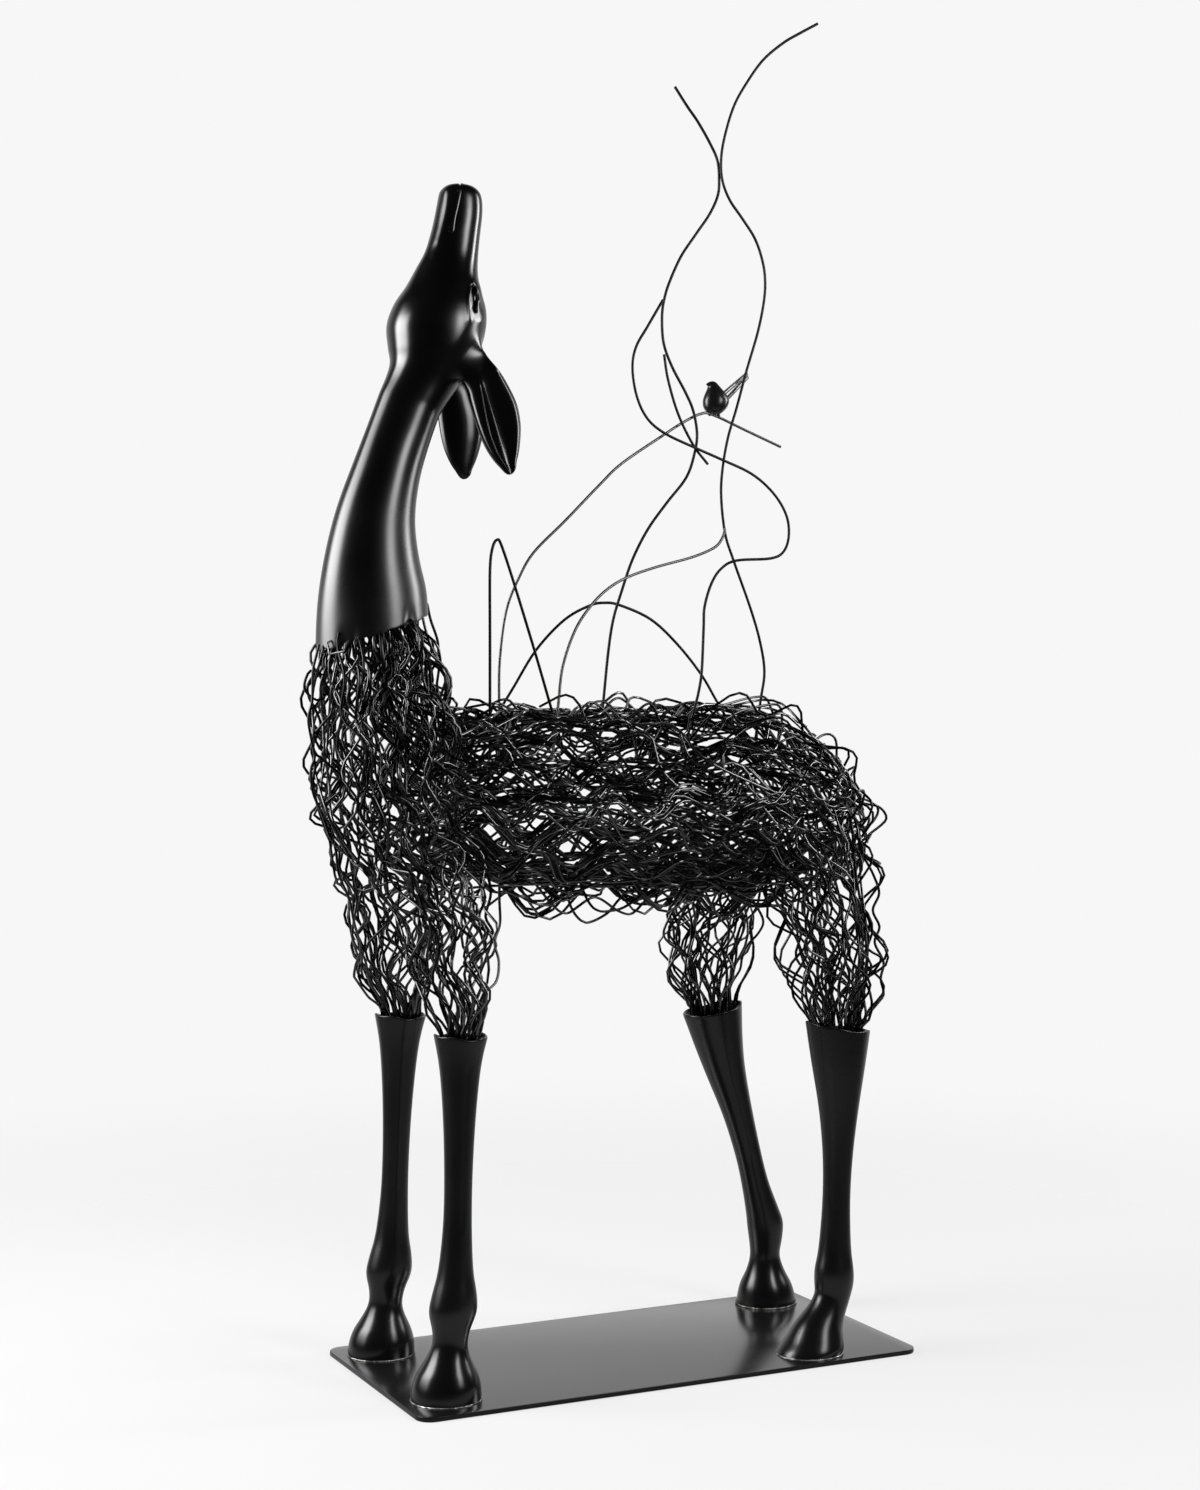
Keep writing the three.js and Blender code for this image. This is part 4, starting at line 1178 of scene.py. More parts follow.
def bird_foot(x):
    """A short round foot under the bird, a little forward or back of its middle."""
    bpy.ops.object.select_all(action="DESELECT")
    bpy.ops.mesh.primitive_uv_sphere_add(segments=16, ring_count=10, radius=BIRD_FOOT_RADIUS)
    foot = bpy.context.object
    places, _ = vertex_arrays(foot)
    put_vertices(foot, places * BIRD_FOOT_STRETCH + BIRD_FOOT + (x, 0, 0.0006 - 0.25 * max(x, 0)))
    bpy.ops.object.shade_smooth()
    return foot


join_to(bird, [bird_foot(-0.0075), bird_foot(0.0060)])
BIRD_FINISH = black_paint(
    "bird_gloss_black", shade=0.003, roughness=0.27, spread=0.03,
    peel_size=0.0012, peel_height=0.00001, shine=0.25,
)
bird.data.materials.append(BIRD_FINISH)
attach(bird, "root")
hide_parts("bird")


# ---------------------------------------------------------------- wire body
# Drawn steel wire, crimped to and fro, laid in bundles along the flow of the muscles, tack welded where it
# crosses and painted black. Wires run down from the neck through the shoulders into the fore cups, along
# the trunk, and over the haunches into the hind cups.
WIRE_RADIUS = 0.0018
STAPLE_RADIUS = 0.0015

# Trunk: [x, top, bottom, half width]. Chest: [x, z, half depth, half width, tilt in degrees].
TRUNK_FORM = [
    (-0.352, 0.790, 0.690, 0.060),
    (-0.330, 0.825, 0.640, 0.092),
    (-0.270, 0.848, 0.610, 0.112),
    (-0.180, 0.846, 0.610, 0.118),
    (-0.060, 0.851, 0.602, 0.126),
    (0.070, 0.849, 0.596, 0.126),
    (0.185, 0.851, 0.594, 0.126),
    (0.246, 0.835, 0.592, 0.120),
    (0.292, 0.795, 0.596, 0.104),
    (0.324, 0.751, 0.606, 0.084),
    (0.346, 0.701, 0.630, 0.050),
    (0.354, 0.665, 0.646, 0.010),
]
CHEST_FORM = [
    (-0.312, 0.604, 0.052, 0.060, 0),
    (-0.311, 0.622, 0.076, 0.092, 0),
    (-0.311, 0.680, 0.090, 0.110, 0),
    (-0.315, 0.750, 0.099, 0.114, 0),
    (-0.328, 0.815, 0.095, 0.102, 4),
    (-0.342, 0.868, 0.083, 0.080, 11),
    (-0.346, 0.905, 0.073, 0.062, 16),
    (-0.346, 0.938, 0.066, 0.051, 18),
    (-0.346, 0.965, 0.060, 0.045, 14),
]
# Upper legs above the cup rims: [shift along x, height above the rim, half depth, half width].
FORE_UPPER_FORM = [
    (0.000, -0.030, 0.025, 0.024),
    (0.000, 0.000, 0.028, 0.0265),
    (-0.001, 0.014, 0.033, 0.031),
    (-0.006, 0.048, 0.046, 0.037),
    (-0.010, 0.098, 0.055, 0.042),
    (-0.013, 0.150, 0.062, 0.046),
    (-0.018, 0.220, 0.070, 0.048),
]
NEAR_HIND_UPPER_FORM = [
    (0.000, -0.030, 0.036, 0.032),
    (0.000, 0.000, 0.038, 0.0345),
    (0.001, 0.016, 0.043, 0.039),
    (0.000, 0.084, 0.056, 0.044),
    (-0.010, 0.134, 0.066, 0.048),
    (-0.017, 0.176, 0.073, 0.050),
    (-0.024, 0.256, 0.080, 0.052),
]
FAR_HIND_UPPER_FORM = [
    (0.006, -0.030, 0.034, 0.031),
    (0.000, 0.000, 0.0365, 0.033),
    (-0.004, 0.016, 0.042, 0.037),
    (-0.009, 0.072, 0.056, 0.042),
    (0.002, 0.142, 0.070, 0.047),
    (0.016, 0.190, 0.076, 0.050),
    (0.034, 0.256, 0.080, 0.052),
]
# Loops that stand proud of the body: how far to the side, and places [x, z].
STRAY_LOOPS = [
    (-0.03, [(-0.138, 0.623), (-0.122, 0.604), (-0.106, 0.588), (-0.094, 0.584),
        (-0.085, 0.588), (-0.067, 0.599), (-0.056, 0.603), (-0.044, 0.599),
        (-0.028, 0.588), (-0.017, 0.582), (-0.005, 0.579), (0.004, 0.583), (0.015, 0.593),
        (0.028, 0.602), (0.042, 0.616)]),
    (-0.015, [(-0.094, 0.628), (-0.087, 0.608), (-0.083, 0.594), (-0.076, 0.581),
        (-0.067, 0.572), (-0.06, 0.569), (-0.049, 0.571), (-0.035, 0.577), (-0.026, 0.583),
        (-0.015, 0.595), (-0.004, 0.605), (0.009, 0.622)]),
    (-0.045, [(-0.086, 0.632), (-0.078, 0.613), (-0.072, 0.601), (-0.064, 0.591),
        (-0.053, 0.586), (-0.041, 0.586), (-0.026, 0.588), (-0.012, 0.594), (0.001, 0.602),
        (0.017, 0.616)]),
    (-0.02, [(-0.048, 0.629), (-0.03, 0.614), (-0.018, 0.603), (-0.003, 0.596), (0.011, 0.591),
        (0.028, 0.59), (0.044, 0.593), (0.062, 0.599), (0.079, 0.609), (0.097, 0.621)]),
    (0.0, [(-0.191, 0.828), (-0.184, 0.848), (-0.181, 0.853), (-0.174, 0.856),
        (-0.167, 0.857), (-0.16, 0.855), (-0.155, 0.85), (-0.15, 0.842), (-0.141, 0.825)]),
    (-0.03, [(-0.231, 0.827), (-0.211, 0.839), (-0.197, 0.846), (-0.189, 0.848), (-0.18, 0.843),
        (-0.173, 0.836), (-0.165, 0.821)]),
    (0.02, [(-0.157, 0.846), (-0.146, 0.851), (-0.13, 0.848), (-0.113, 0.843), (-0.102, 0.843),
        (-0.092, 0.841), (-0.072, 0.829)]),
    (-0.02, [(-0.268, 0.852), (-0.257, 0.849), (-0.244, 0.847), (-0.23, 0.845), (-0.22, 0.841),
        (-0.207, 0.836), (-0.196, 0.836), (-0.18, 0.841)]),
    (-0.04, [(-0.1, 0.823), (-0.086, 0.838), (-0.077, 0.846), (-0.067, 0.853), (-0.058, 0.851),
        (-0.049, 0.845), (-0.035, 0.83)]),
    (-0.01, [(-0.075, 0.825), (-0.058, 0.843), (-0.047, 0.852), (-0.036, 0.854),
        (-0.027, 0.851), (-0.018, 0.844), (-0.009, 0.836), (0.002, 0.822)]),
    (0.01, [(-0.028, 0.834), (-0.016, 0.85), (-0.01, 0.855), (-0.001, 0.858), (0.008, 0.854),
        (0.017, 0.847), (0.026, 0.839), (0.042, 0.823)]),
    (-0.04, [(-0.015, 0.83), (0.001, 0.841), (0.01, 0.848), (0.019, 0.851), (0.026, 0.844),
        (0.03, 0.835), (0.037, 0.823), (0.045, 0.809)]),
    (0.0, [(0.031, 0.834), (0.045, 0.847), (0.052, 0.849), (0.062, 0.845), (0.069, 0.839),
        (0.084, 0.823)]),
    (-0.02, [(0.029, 0.822), (0.044, 0.832), (0.055, 0.841), (0.067, 0.847), (0.088, 0.852),
        (0.107, 0.85), (0.124, 0.836)]),
    (-0.01, [(0.079, 0.826), (0.093, 0.84), (0.103, 0.846), (0.118, 0.844), (0.143, 0.848),
        (0.176, 0.856), (0.199, 0.859), (0.208, 0.857), (0.214, 0.848), (0.219, 0.837),
        (0.227, 0.825), (0.239, 0.809)]),
    (-0.04, [(0.11, 0.819), (0.132, 0.831), (0.152, 0.84), (0.177, 0.846), (0.202, 0.849),
        (0.211, 0.847), (0.215, 0.839), (0.215, 0.824), (0.211, 0.802)]),
    (0.02, [(0.188, 0.811), (0.195, 0.825), (0.199, 0.833), (0.205, 0.836), (0.213, 0.832),
        (0.221, 0.823), (0.231, 0.805)]),
    (-0.03, [(0.212, 0.796), (0.233, 0.804), (0.253, 0.807), (0.269, 0.809), (0.273, 0.807),
        (0.264, 0.8), (0.249, 0.788)]),
    (-0.02, [(0.233, 0.766), (0.252, 0.778), (0.265, 0.79), (0.278, 0.8), (0.29, 0.807),
        (0.301, 0.808), (0.309, 0.803), (0.312, 0.793), (0.312, 0.78), (0.314, 0.771),
        (0.325, 0.757), (0.338, 0.737)]),
    (-0.05, [(0.237, 0.799), (0.255, 0.795), (0.268, 0.792), (0.275, 0.784), (0.28, 0.774),
        (0.282, 0.756)]),
    (0.01, [(0.282, 0.762), (0.308, 0.77), (0.322, 0.773), (0.332, 0.768), (0.343, 0.756),
        (0.351, 0.749), (0.361, 0.73)]),
    (-0.055, [(0.298, 0.712), (0.321, 0.72), (0.331, 0.722), (0.345, 0.717), (0.355, 0.71),
        (0.355, 0.701), (0.347, 0.69), (0.337, 0.684), (0.314, 0.677)]),
    (-0.055, [(0.323, 0.718), (0.342, 0.714), (0.356, 0.711), (0.366, 0.703), (0.369, 0.694),
        (0.361, 0.686), (0.342, 0.674)]),
    (0.075, [(0.135, 0.597), (0.120, 0.579), (0.106, 0.557), (0.099, 0.537), (0.109, 0.523),
        (0.125, 0.513), (0.115, 0.500), (0.107, 0.485), (0.117, 0.469), (0.130, 0.452),
        (0.139, 0.431), (0.144, 0.418)]),
    (0.055, [(0.144, 0.593), (0.124, 0.576), (0.112, 0.554), (0.109, 0.527), (0.122, 0.509),
        (0.137, 0.490), (0.142, 0.463), (0.150, 0.428)]),
    (0.07, [(0.213, 0.612), (0.224, 0.591), (0.240, 0.570), (0.251, 0.548), (0.243, 0.531),
        (0.227, 0.515), (0.219, 0.497), (0.216, 0.480), (0.203, 0.460), (0.196, 0.435),
        (0.193, 0.417)]),
    (0.06, [(0.188, 0.596), (0.205, 0.572), (0.216, 0.547), (0.210, 0.527), (0.196, 0.505),
        (0.200, 0.482), (0.194, 0.457), (0.185, 0.425)]),
    (0.045, [(0.159, 0.580), (0.185, 0.570), (0.206, 0.551), (0.199, 0.520), (0.179, 0.498),
        (0.165, 0.472), (0.164, 0.429)]),
    (-0.075, [(0.183, 0.633), (0.172, 0.614), (0.176, 0.590), (0.195, 0.576), (0.204, 0.560),
        (0.216, 0.544), (0.225, 0.524), (0.235, 0.503), (0.229, 0.482), (0.232, 0.460),
        (0.244, 0.437), (0.254, 0.418)]),
    (-0.1, [(0.188, 0.622), (0.182, 0.600), (0.186, 0.574), (0.203, 0.556), (0.229, 0.544),
        (0.243, 0.523), (0.241, 0.488), (0.254, 0.457), (0.257, 0.424)]),
    (-0.085, [(0.304, 0.660), (0.319, 0.640), (0.331, 0.620), (0.339, 0.597), (0.329, 0.575),
        (0.339, 0.553), (0.331, 0.533), (0.344, 0.507), (0.339, 0.486), (0.343, 0.465),
        (0.333, 0.444), (0.320, 0.424), (0.312, 0.412)]),
    (-0.13, [(0.225, 0.584), (0.241, 0.570), (0.269, 0.549), (0.298, 0.526), (0.315, 0.514),
        (0.298, 0.492), (0.277, 0.481), (0.252, 0.465), (0.241, 0.426)]),
    (-0.12, [(0.217, 0.626), (0.242, 0.608), (0.257, 0.581), (0.242, 0.556), (0.227, 0.535),
        (0.242, 0.504), (0.267, 0.485), (0.277, 0.449), (0.270, 0.423)]),
    (0.0, [(-0.408, 0.882), (-0.415, 0.891), (-0.426, 0.893), (-0.432, 0.884), (-0.434, 0.872),
        (-0.428, 0.863), (-0.418, 0.857), (-0.408, 0.860)]),
    (0.01, [(-0.405, 0.914), (-0.414, 0.894), (-0.426, 0.876), (-0.425, 0.861), (-0.417, 0.846),
        (-0.410, 0.828), (-0.416, 0.812), (-0.422, 0.796), (-0.417, 0.777), (-0.420, 0.755),
        (-0.414, 0.726), (-0.405, 0.701), (-0.395, 0.684)]),
    (-0.02, [(-0.422, 0.925), (-0.426, 0.910), (-0.430, 0.892), (-0.431, 0.857), (-0.436, 0.835),
        (-0.432, 0.809), (-0.428, 0.788), (-0.433, 0.772), (-0.430, 0.744), (-0.419, 0.719),
        (-0.409, 0.690)]),
    (0.06, [(-0.381, 0.697), (-0.373, 0.668), (-0.369, 0.638), (-0.355, 0.604), (-0.349, 0.574),
        (-0.342, 0.540), (-0.350, 0.517), (-0.352, 0.498), (-0.337, 0.476), (-0.321, 0.462),
        (-0.309, 0.445)]),
    (0.08, [(-0.356, 0.687), (-0.360, 0.670), (-0.361, 0.645), (-0.351, 0.628), (-0.338, 0.606),
        (-0.341, 0.581), (-0.344, 0.551), (-0.329, 0.525), (-0.323, 0.494), (-0.309, 0.470),
        (-0.295, 0.444)]),
    (-0.06, [(-0.200, 0.645), (-0.201, 0.612), (-0.200, 0.579), (-0.207, 0.556), (-0.201, 0.533),
        (-0.204, 0.510), (-0.218, 0.498), (-0.224, 0.488), (-0.219, 0.478), (-0.226, 0.464),
        (-0.239, 0.439)]),
    (-0.08, [(-0.227, 0.648), (-0.221, 0.619), (-0.228, 0.590), (-0.218, 0.569), (-0.227, 0.540),
        (-0.236, 0.516), (-0.229, 0.495), (-0.236, 0.475), (-0.251, 0.443)]),
    (-0.02, [(-0.288, 0.968), (-0.284, 0.948), (-0.274, 0.919), (-0.258, 0.896), (-0.252, 0.873),
        (-0.255, 0.852), (-0.249, 0.839), (-0.238, 0.832)]),
    (0.02, [(-0.265, 0.978), (-0.260, 0.957), (-0.251, 0.932), (-0.248, 0.907), (-0.236, 0.886),
        (-0.234, 0.860), (-0.244, 0.841), (-0.239, 0.822)]),
]
TRUNK_ENDS = (-0.34, 0.34)
UPPER_LEG_INWARD = 0.040
# How far a place moves along the body for each step across it, to look the same from the front quarter.
ALONG_FOR_ACROSS = 0.483
STRAIGHT_END = 0.04
STRAIGHT_INTO_CUP = 0.09
ROUTE_STEP = 0.012
END_TUCK = 0.007
# The shortest half waves along the trunk and on the legs, the trunk taken as a round one, and the height
# of the middle of the body.
TRUNK_WAVE = 0.038
LEG_WAVE = 0.036
ROUND_TRUNK = 0.125
DEGREES = 57.3
BODY_MIDDLE = 0.72
# The heights where a wire's route is set: down the chest, and down each leg above the rim of its cup.
CHEST_LEVELS = (0.955, 0.91, 0.86, 0.80, 0.74, 0.68)
FORE_LEG_LEVELS = (0.15, 0.098, 0.048, 0.0, -0.03)
HIND_LEG_LEVELS = (0.19, 0.13, 0.075, 0.0, -0.03)


def form_at(form, column, value):
    """A row of a form worked out at a value of one of its columns."""
    rows = np.array(sorted(form, key=lambda row: row[column]), float)
    return np.array([np.interp(value, rows[:, column], rows[:, k]) for k in range(rows.shape[1])])


def trunk_point(x, angle, share):
    """A place in the trunk: angle 0 is the back, 90 the near flank; share is 1 at the outside."""
    _, top, bottom, width = form_at(TRUNK_FORM, 0, x)
    turn = radians(angle)
    middle, half = (top + bottom) / 2, (top - bottom) / 2
    return np.array((x, -share * width * sin(turn), middle + share * half * cos(turn)))


def chest_point(z, forward, sideways):
    """A place in the chest or the base of the neck: forward and sideways run from -1 to 1."""
    x, _, depth, width, tilt = form_at(CHEST_FORM, 1, z)
    along = -forward * depth
    return np.array((x + along * cos(radians(tilt)), sideways * width, z + along * sin(radians(tilt))))


def upper_leg_point(rim, form, up, forward, sideways):
    """A place in an upper leg at a height above the cup rim."""
    shift, _, depth, width = form_at(form, 1, up)
    inward = -np.sign(rim[1]) * UPPER_LEG_INWARD * (max(up, 0) / 0.3) ** 2
    return np.array((rim[0] + shift - forward * depth, rim[1] + inward + sideways * width, rim[2] + up))


def smooth_line(points, step):
    """Points about a step apart on a smooth line through the given ones."""
    points = np.array(points, float)
    padded = np.vstack([2 * points[0] - points[1], points, 2 * points[-1] - points[-2]])
    line = []
    for i in range(len(points) - 1):
        a, b, c, d = padded[i : i + 4]
        for t in np.linspace(0, 1, max(int(np.linalg.norm(c - b) / step), 1), endpoint=False):
            line.append(on_curve(a, b, c, d, t))
    return np.array(line + [points[-1]])


def crimp(route, inside, bends, swing, plane, last_straight=STRAIGHT_END):
    """One wire along a route, bent to and fro with no sharp corner. Bends are (distance, side, lift). The
    plane of the waves is turned from the body's skin, and both ends run out straight and tuck in."""
    line = smooth_line(route, ROUTE_STEP)
    along = np.gradient(line, axis=0)
    along /= np.linalg.norm(along, axis=1)[:, None]
    middle = len(line) // 2
    out = np.zeros(line.shape)
    out[middle] = line[middle] - inside
    for order, step in ((range(middle, len(line)), -1), (range(middle - 1, -1, -1), 1)):
        for i in order:
            carried = out[i] if i == middle else out[i + step]
            carried = carried - along[i] * (carried @ along[i])
            out[i] = carried / np.linalg.norm(carried)
    reached = np.concatenate([[0], np.cumsum(np.linalg.norm(np.diff(line, axis=0), axis=1))])
    corners = [line[0]]
    for distance, side, lift in bends:
        if not ROUTE_STEP < distance < reached[-1] - ROUTE_STEP:
            continue
        i = int(np.searchsorted(reached, distance))
        place = np.array([np.interp(distance, reached, line[:, k]) for k in range(3)])
        ease = min(1, distance / STRAIGHT_END, ((reached[-1] - distance) / last_straight) ** 2)
        across = np.cross(along[i], out[i]) * cos(plane) + out[i] * sin(plane)
        corners.append(place + across * side * swing * ease + out[i] * (lift - END_TUCK * (1 - ease)))
    corners.append(line[-1])
    wire = [corners[0]]
    for before, corner, after in zip(corners, corners[1:], corners[2:]):
        start, end = (before + corner) / 2, (corner + after) / 2
        for t in (0, 0.25, 0.5, 0.75):
            wire.append((1 - t) ** 2 * start + 2 * t * (1 - t) * corner + t**2 * end)
    wire.append((corners[-2] + corners[-1]) / 2)
    wire.append(corners[-1])
    return wire


def bend_plan(length, half_wave, lift):
    """Where a bundle's wires bend: [distance, side, lift] with uneven spacing and sides in turn."""
    plan = []
    distance = wire_luck.uniform(-half_wave, half_wave)
    side = 1
    while distance < length:
        plan.append((distance, side * wire_luck.uniform(0.6, 1.35), wire_luck.normal(0, lift)))
        distance += half_wave * wire_luck.uniform(0.75, 1.3)
        side = -side
    return plan


def bundle(route_of, inside, count, spread, half_wave, swing, lift, plane, last_straight=STRAIGHT_END):
    """Wires that lie nearly alongside each other. route_of(offset) gives a route moved sideways."""
    length = sum(np.linalg.norm(np.diff(np.array(route_of(0)), axis=0), axis=1)) + 0.05
    plan = bend_plan(length, half_wave, lift)
    wires = []
    for _ in range(count):
        first = np.array(route_of(wire_luck.normal(0, spread)))
        last = np.array(route_of(wire_luck.normal(0, spread)))
        share = np.linspace(0, 1, len(first))[:, None]
        shift = wire_luck.normal(0, 0.16) * half_wave
        stretch = wire_luck.uniform(0.98, 1.02)
        bends = []
        for distance, side, rise in plan:
            side *= wire_luck.uniform(0.8, 1.2)
            bends.append((distance * stretch + shift, side, rise + wire_luck.normal(0, 0.002)))
        wires.append(crimp(first + (last - first) * share, inside, bends, swing, plane, last_straight))
    return wires


def spread_out(count):
    """Numbers from -1 to 1, evenly spread but in a shuffled order."""
    even = (np.arange(count) + wire_luck.uniform(0, 1, count)) / count * 2 - 1
    return wire_luck.permutation(even)


WIRE_FINISH = black_paint(
    "wire_black_paint", shade=0.0008, roughness=0.14, spread=0.04,
    peel_size=0.0006, peel_height=0.00003,
)
wire_nodes, wire_links = WIRE_FINISH.node_tree.nodes, WIRE_FINISH.node_tree.links
# Some wires shine and others hardly do.
each_wire = wire_nodes.new("ShaderNodeNewGeometry")
wire_shine = add_range(wire_nodes, 0.35, 1, 0.1, 0.9)
wire_links.new(each_wire.outputs["Random Per Island"], wire_shine.inputs["Value"])
wire_links.new(wire_shine.outputs["Result"], wire_nodes["Principled BSDF"].inputs["Specular IOR Level"])
# The wires tacked on across the others are a little lighter, a painted sheen, and they also reflect more
# strongly.
CROSSING_PAINTED_SHEEN_FINISH = black_paint(
    "crossing_wire_painted_sheen", shade=0.0020, roughness=0.17, spread=0.04,
    peel_size=0.0006, peel_height=0.00003, shine=0.95,
)
fore_rims = {side: LEGS[f"leg_casting_{side}_fore"][-1][:3] for side in ("near", "far")}
hind_rims = {side: LEGS[f"leg_casting_{side}_hind"][-1][:3] for side in ("near", "far")}
CUP_MOUTHS = [
    (*fore_rims["near"], *FORE_UPPER_FORM[1][2:]), (*fore_rims["far"], *FORE_UPPER_FORM[1][2:]),
    (*hind_rims["near"], *NEAR_HIND_UPPER_FORM[1][2:]), (*hind_rims["far"], *FAR_HIND_UPPER_FORM[1][2:]),
]


def degrees_of(offset):
    """Turns a sideways distance on the trunk's skin into an angle."""
    return offset / ROUND_TRUNK * DEGREES


def tucked_end(wire):
    """Draws the last stretch of a wire in towards the middle of the body."""
    wire = np.array(wire)
    steps = np.linalg.norm(np.diff(wire, axis=0), axis=1)
    left = np.append(np.cumsum(steps[::-1])[::-1], 0)
    tuck = 0.45 * np.clip(1 - left / 0.06, 0, 1) ** 2
    wire[:, 1] *= 1 - tuck
    wire[:, 2] += (BODY_MIDDLE - wire[:, 2]) * tuck
    return wire


def tucked_start(wire):
    """Draws the first stretch of a wire in."""
    return tucked_end(wire[::-1])[::-1]


def trunk_wires(bundles, biggest, share_low, share_high):
    """Wires along the trunk from the shoulder to the rump, as many low on the flank as high."""
    wires = []
    for i, height in enumerate(spread_out(bundles)):
        angle = DEGREES * np.arccos(height)
        if i % 4 == 0:
            angle = wire_luck.uniform(0, 180)
        if i % 2:
            angle = -angle
        # These are fewer on the back than on the flanks.
        if abs(angle) < 50 and i % 5 < 2:
            continue
        share = wire_luck.uniform(share_low, share_high)
        start = wire_luck.uniform(-0.335, -0.18)
        end = wire_luck.uniform(0.22, 0.345)
        drift = wire_luck.normal(0, 10)
        stations = np.linspace(start, end, 8)
        edge_on = abs(cos(radians(angle))) > 0.75
        plane = wire_luck.normal(0, radians(80 if edge_on else 25))

        def route(offset):
            return [
                trunk_point(x, angle + drift * (x - start) / 0.3 + degrees_of(offset), share)
                for x in stations
            ]

        half_wave = TRUNK_WAVE * 2.1 ** wire_luck.uniform()
        swing = half_wave * wire_luck.uniform(0.6, 0.85)
        inside = trunk_point((start + end) / 2, 0, 0)
        count = int(wire_luck.integers(1, biggest + 1))
        wires += bundle(route, inside, count, 0.007, half_wave, swing, 0.004, plane)
    return [tucked_start(tucked_end(wire)) for wire in wires]


def back_and_belly_wires(bundles):
    """Wires that close the back and the belly, with their waves lying flat in the skin."""
    wires = []
    for i, place in enumerate(spread_out(bundles)):
        angle = 40 * place + (180 if i % 2 else 0)
        share = wire_luck.uniform(0.84, 0.94)
        stations = np.linspace(wire_luck.uniform(-0.31, -0.18), wire_luck.uniform(0.20, 0.31), 8)
        drift = wire_luck.normal(0, 12)

        def route(offset):
            return [trunk_point(x, angle + drift * x / 0.3 + degrees_of(offset), share) for x in stations]

        half_wave = TRUNK_WAVE * 1.8 ** wire_luck.uniform()
        swing = half_wave * wire_luck.uniform(0.6, 0.85)
        plane = wire_luck.normal(0, radians(12))
        count = int(wire_luck.integers(1, 4))
        wires += bundle(route, trunk_point(0, 0, 0), count, 0.010, half_wave, swing, 0.002, plane)
    return [tucked_start(tucked_end(wire)) for wire in wires]


def level_share(x, level):
    """How far up or down a height lies between the trunk's middle and its outline: -1 to 1."""
    _, top, bottom, _ = form_at(TRUNK_FORM, 0, x)
    return (level - (top + bottom) / 2) / ((top - bottom) / 2)


def sqrt_or_zero(value):
    """A square root that takes what falls just below nought as nought."""
    return max(value, 0) ** 0.5


def rump_wires(count):
    """Wires that wrap round the back end, from one flank to the other."""
    wires = []
    for place in spread_out(count):
        level = 0.705 + 0.085 * place
        slope = wire_luck.normal(0, 0.018)
        share = wire_luck.uniform(0.93, 1.0)
        ends = wire_luck.uniform(0.19, 0.27), wire_luck.uniform(0.19, 0.27)
        rear = [x for x in np.linspace(0.28, 0.352, 40) if abs(level_share(x, level)) < 0.98][-1]

        def route(offset):
            points = []
            for t in np.linspace(-1, 1, 13):
                x = np.interp(abs(t), (0, 0.4, 1), (rear, rear - 0.035, ends[int(t > 0)]))
                height = level + slope * t + offset
                out = sqrt_or_zero(1 - level_share(x, height) ** 2)
                width = form_at(TRUNK_FORM, 0, x)[3]
                points.append(np.array((x, np.sign(t) * width * share * out, height)))
            return points

        plane = wire_luck.normal(0, radians(30))
        wires += bundle(route, np.array((0.20, 0, 0.70)), 1, 0.006, 0.045, 0.026, 0.003, plane)
    return wires


def leg_bundle(route, inside, spread):
    """One or two wires alongside each other that end straight, inside a cup."""
    plane = wire_luck.normal(0, radians(35))
    half_wave = LEG_WAVE * 1.6 ** wire_luck.uniform()
    swing = half_wave * wire_luck.uniform(0.55, 0.8)
    count = int(wire_luck.integers(1, 3))
    return bundle(route, inside, count, spread, half_wave, swing, 0.003, plane, STRAIGHT_INTO_CUP)


def fore_wires(side, bundles):
    """Wires from inside the neck rim down the shoulder into a fore cup."""
    sign = -1 if side == "near" else 1
    rim = fore_rims[side]
    wires = []
    for i, place in enumerate(spread_out(bundles)):
        inner = i % 5 < 2
        share = wire_luck.uniform(0.82 if abs(place) < 0.8 else 0.96, 1.0)
        drift = wire_luck.normal(0, 0.22)

        def route(offset):
            forward = np.clip(place + offset / 0.06, -1, 1)
            out = sqrt_or_zero(1 - forward**2)
            chest_side = sign * out * (-0.15 if inner else 1)
            leg_side = sign * out * (-1 if inner else 1)
            points = []
            for z in CHEST_LEVELS:
                drifted = np.clip(forward + drift * (z - CHEST_LEVELS[-1]) / 0.27, -1, 1)
                points.append(chest_point(z, drifted * share, chest_side * share))
            for up in FORE_LEG_LEVELS:
                points.append(upper_leg_point(rim, FORE_UPPER_FORM, up, forward * share, leg_side * share))
            return points

        wires += leg_bundle(route, np.array((rim[0], rim[1] * 0.6, 0.68)), 0.006)
    return wires


def hind_wires(side, form, bundles):
    """Wires along the flank that turn down over the haunch into a hind cup."""
    sign = -1 if side == "near" else 1
    rim = hind_rims[side]
    wires = []
    for i, rear in enumerate(spread_out(bundles)):
        inner = i % 5 < 2
        share = wire_luck.uniform(0.82 if abs(rear) < 0.8 else 0.98, 1.02)
        start = wire_luck.uniform(-0.06, 0.12)

        def route(offset):
            back = np.clip(rear + offset / 0.05, -1, 1)
            out = sqrt_or_zero(1 - back**2) * (-1 if inner else 1)
            angle = -sign * (90 - 62 * back)
            points = [trunk_point(x, angle, share) for x in np.linspace(start, 0.16 + 0.07 * back, 3)]
            hip_side = sign * (0.07 + 0.045 * max(out, 0)) * share
            points.append(np.array((0.230 + 0.078 * back, hip_side, 0.690 + 0.072 * back)))
            for up in HIND_LEG_LEVELS:
                points.append(upper_leg_point(rim, form, up, -back * share, sign * out * share))
            return points

        wires += leg_bundle(route, np.array((0.20, rim[1] * 0.5, 0.64)), 0.007)
    return [tucked_start(wire) for wire in wires]


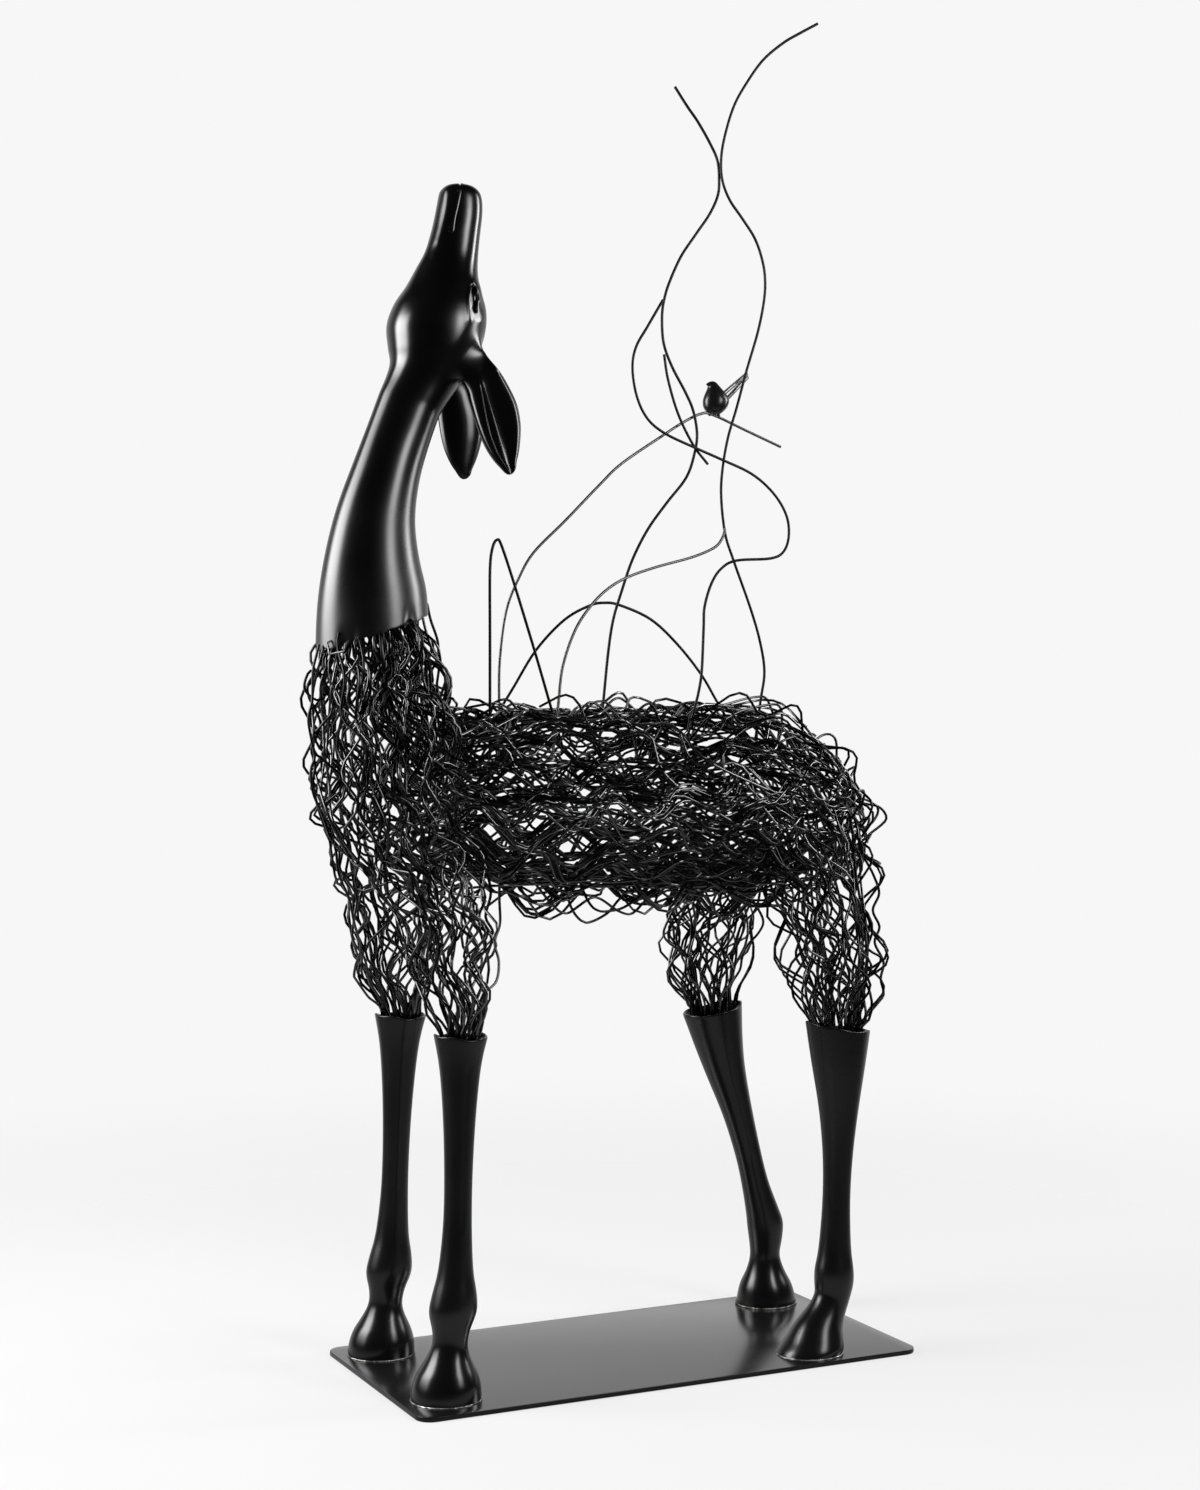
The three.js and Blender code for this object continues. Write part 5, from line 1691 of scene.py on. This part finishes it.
def degrees_from_level(level):
    """The angle round the trunk of a place at a height, from the back down."""
    return DEGREES * np.arccos(np.clip((level - 0.725) / ROUND_TRUNK, -1, 1))


def shoulder_wires(side, bundles):
    """Wires that run down from the neck rim and turn back along the flank."""
    sign = -1 if side == "near" else 1
    wires = []
    for turn in spread_out(bundles):
        level = 0.735 - 0.1 * turn + wire_luck.normal(0, 0.02)
        end = wire_luck.uniform(-0.12, 0.15)
        share = wire_luck.uniform(0.85, 1.0)
        corner = -0.315 + 0.11 * wire_luck.uniform()

        def route(offset):
            forward = np.clip(-0.1 + 0.75 * turn + offset / 0.08, -1, 1)
            out = sign * sqrt_or_zero(1 - forward**2) * share
            levels = (*CHEST_LEVELS[:2], level + 0.06)
            down = [chest_point(z, forward, out) for z in levels if z > level + 0.03]
            angle = -sign * degrees_from_level(level + offset)
            return down + [trunk_point(x, angle, share) for x in np.linspace(corner, end, 5)]

        inside = np.array((-0.25, 0, 0.73))
        plane = wire_luck.normal(0, radians(35))
        wires += bundle(route, inside, int(wire_luck.integers(1, 4)), 0.008, 0.045, 0.03, 0.004, plane)
    return [tucked_end(wire) for wire in wires]


def crossing_wires(count):
    """Short wires tacked on across the others, over the flanks, the shoulders and the haunches."""
    wires = []
    for _ in range(count):
        x = wire_luck.uniform(-0.38, 0.30)
        angle = wire_luck.uniform(0, 360)
        slope = wire_luck.uniform(-1.0, 1.0)
        length = wire_luck.uniform(0.08, 0.24)
        share = wire_luck.uniform(0.95, 1.01)
        stations = np.linspace(-length / 2, length / 2, 4)
        along = np.clip(x + stations, *TRUNK_ENDS)
        turns = angle + slope * degrees_of(stations)
        route = [trunk_point(place, turn, share) for place, turn in zip(along, turns)]
        inside = trunk_point(np.clip(x, *TRUNK_ENDS), 0, 0)
        plan = bend_plan(length, 0.05, 0.003)
        wires.append(crimp(route, inside, plan, 0.03, wire_luck.normal(0, 0.5)))
    return wires


def stray_loop(y, places):
    """A loop that stands proud of the body. One that ends low slides over to the cup it goes down into."""
    last_x, last_z = places[-1]
    cup = min(CUP_MOUTHS, key=lambda mouth: abs(mouth[0] - last_x - ALONG_FOR_ACROSS * (mouth[1] - y)))
    across = cup[1] - y if last_z < 0.47 else 0
    points = []
    for x, z in places:
        slid = np.clip((0.60 - z) / (0.60 - cup[2]), 0, 1)
        slid = across * slid * slid * (3 - 2 * slid)
        points.append((x + ALONG_FOR_ACROSS * slid, y + slid, z))
    return smooth_line(points, 0.004)


def drawn_into_cups(wire):
    """Draws in the stretch of a wire near a cup's rim, so that it goes down inside the cup."""
    wire = np.array(wire)
    for x, y, z, depth, width in CUP_MOUTHS:
        above = wire[:, 2] - z
        across = np.hypot((wire[:, 0] - x) / depth, (wire[:, 1] - y) / width)
        reach = 0.85 + 30 * np.maximum(above, 0)
        stray = (above < 0.05) & (across < 2.6) & (across > reach)
        wire[stray, :2] = (x, y) + (wire[stray, :2] - (x, y)) * (reach / across)[stray, None]
    return wire


# [name, seed of its random bends, how its wires are made]
WIRE_SETS = [
    ("trunk_outer_wires", 4, lambda: trunk_wires(22, 6, 0.9, 1.0)),
    ("trunk_inner_wires", 4, lambda: trunk_wires(9, 6, 0.72, 0.9)),
    ("near_shoulder_wires", 4, lambda: fore_wires("near", 24) + shoulder_wires("near", 13)),
    ("far_shoulder_wires", 6, lambda: fore_wires("far", 28) + shoulder_wires("far", 12)),
    ("near_haunch_wires", 6, lambda: hind_wires("near", NEAR_HIND_UPPER_FORM, 33)),
    ("far_haunch_wires", 6, lambda: hind_wires("far", FAR_HIND_UPPER_FORM, 24)),
    ("crossing_wires", 8, lambda: crossing_wires(68)),
    ("back_and_belly_wires", 5, lambda: back_and_belly_wires(18)),
    ("rump_wires", 5, lambda: rump_wires(22)),
    ("stray_wires", 7, lambda: [stray_loop(y, places) for y, places in STRAY_LOOPS]),
]
for name, seed, bend_wires in WIRE_SETS:
    wire_luck = np.random.default_rng(seed)
    wires = [drawn_into_cups(wire) for wire in bend_wires()]
    piece = wires_to_piece(name, wires, WIRE_RADIUS, 1)
    piece.data.materials.append(CROSSING_PAINTED_SHEEN_FINISH if name == "crossing_wires" else WIRE_FINISH)
    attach(piece, "root")
    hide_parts("wire_body")


# A staple of bent wire welded over the front of the neck rim.
STAPLE = [
    (-0.4050, -0.0260, 0.9310), (-0.4140, -0.0285, 0.9270), (-0.4130, -0.0312, 0.9130),
    (-0.3985, -0.0455, 0.9165), (-0.3975, -0.0465, 0.9260), (-0.3900, -0.0400, 0.9300),
]
staple = wires_to_piece("neck_rim_staple", [STAPLE], STAPLE_RADIUS, 1)
# The staple takes the same lighter grey as the perch and the branch, a painted sheen.
staple.data.materials.append(PAINTED_SHEEN_WIRE_FINISH)
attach(staple, "root")
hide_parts("wire_body")
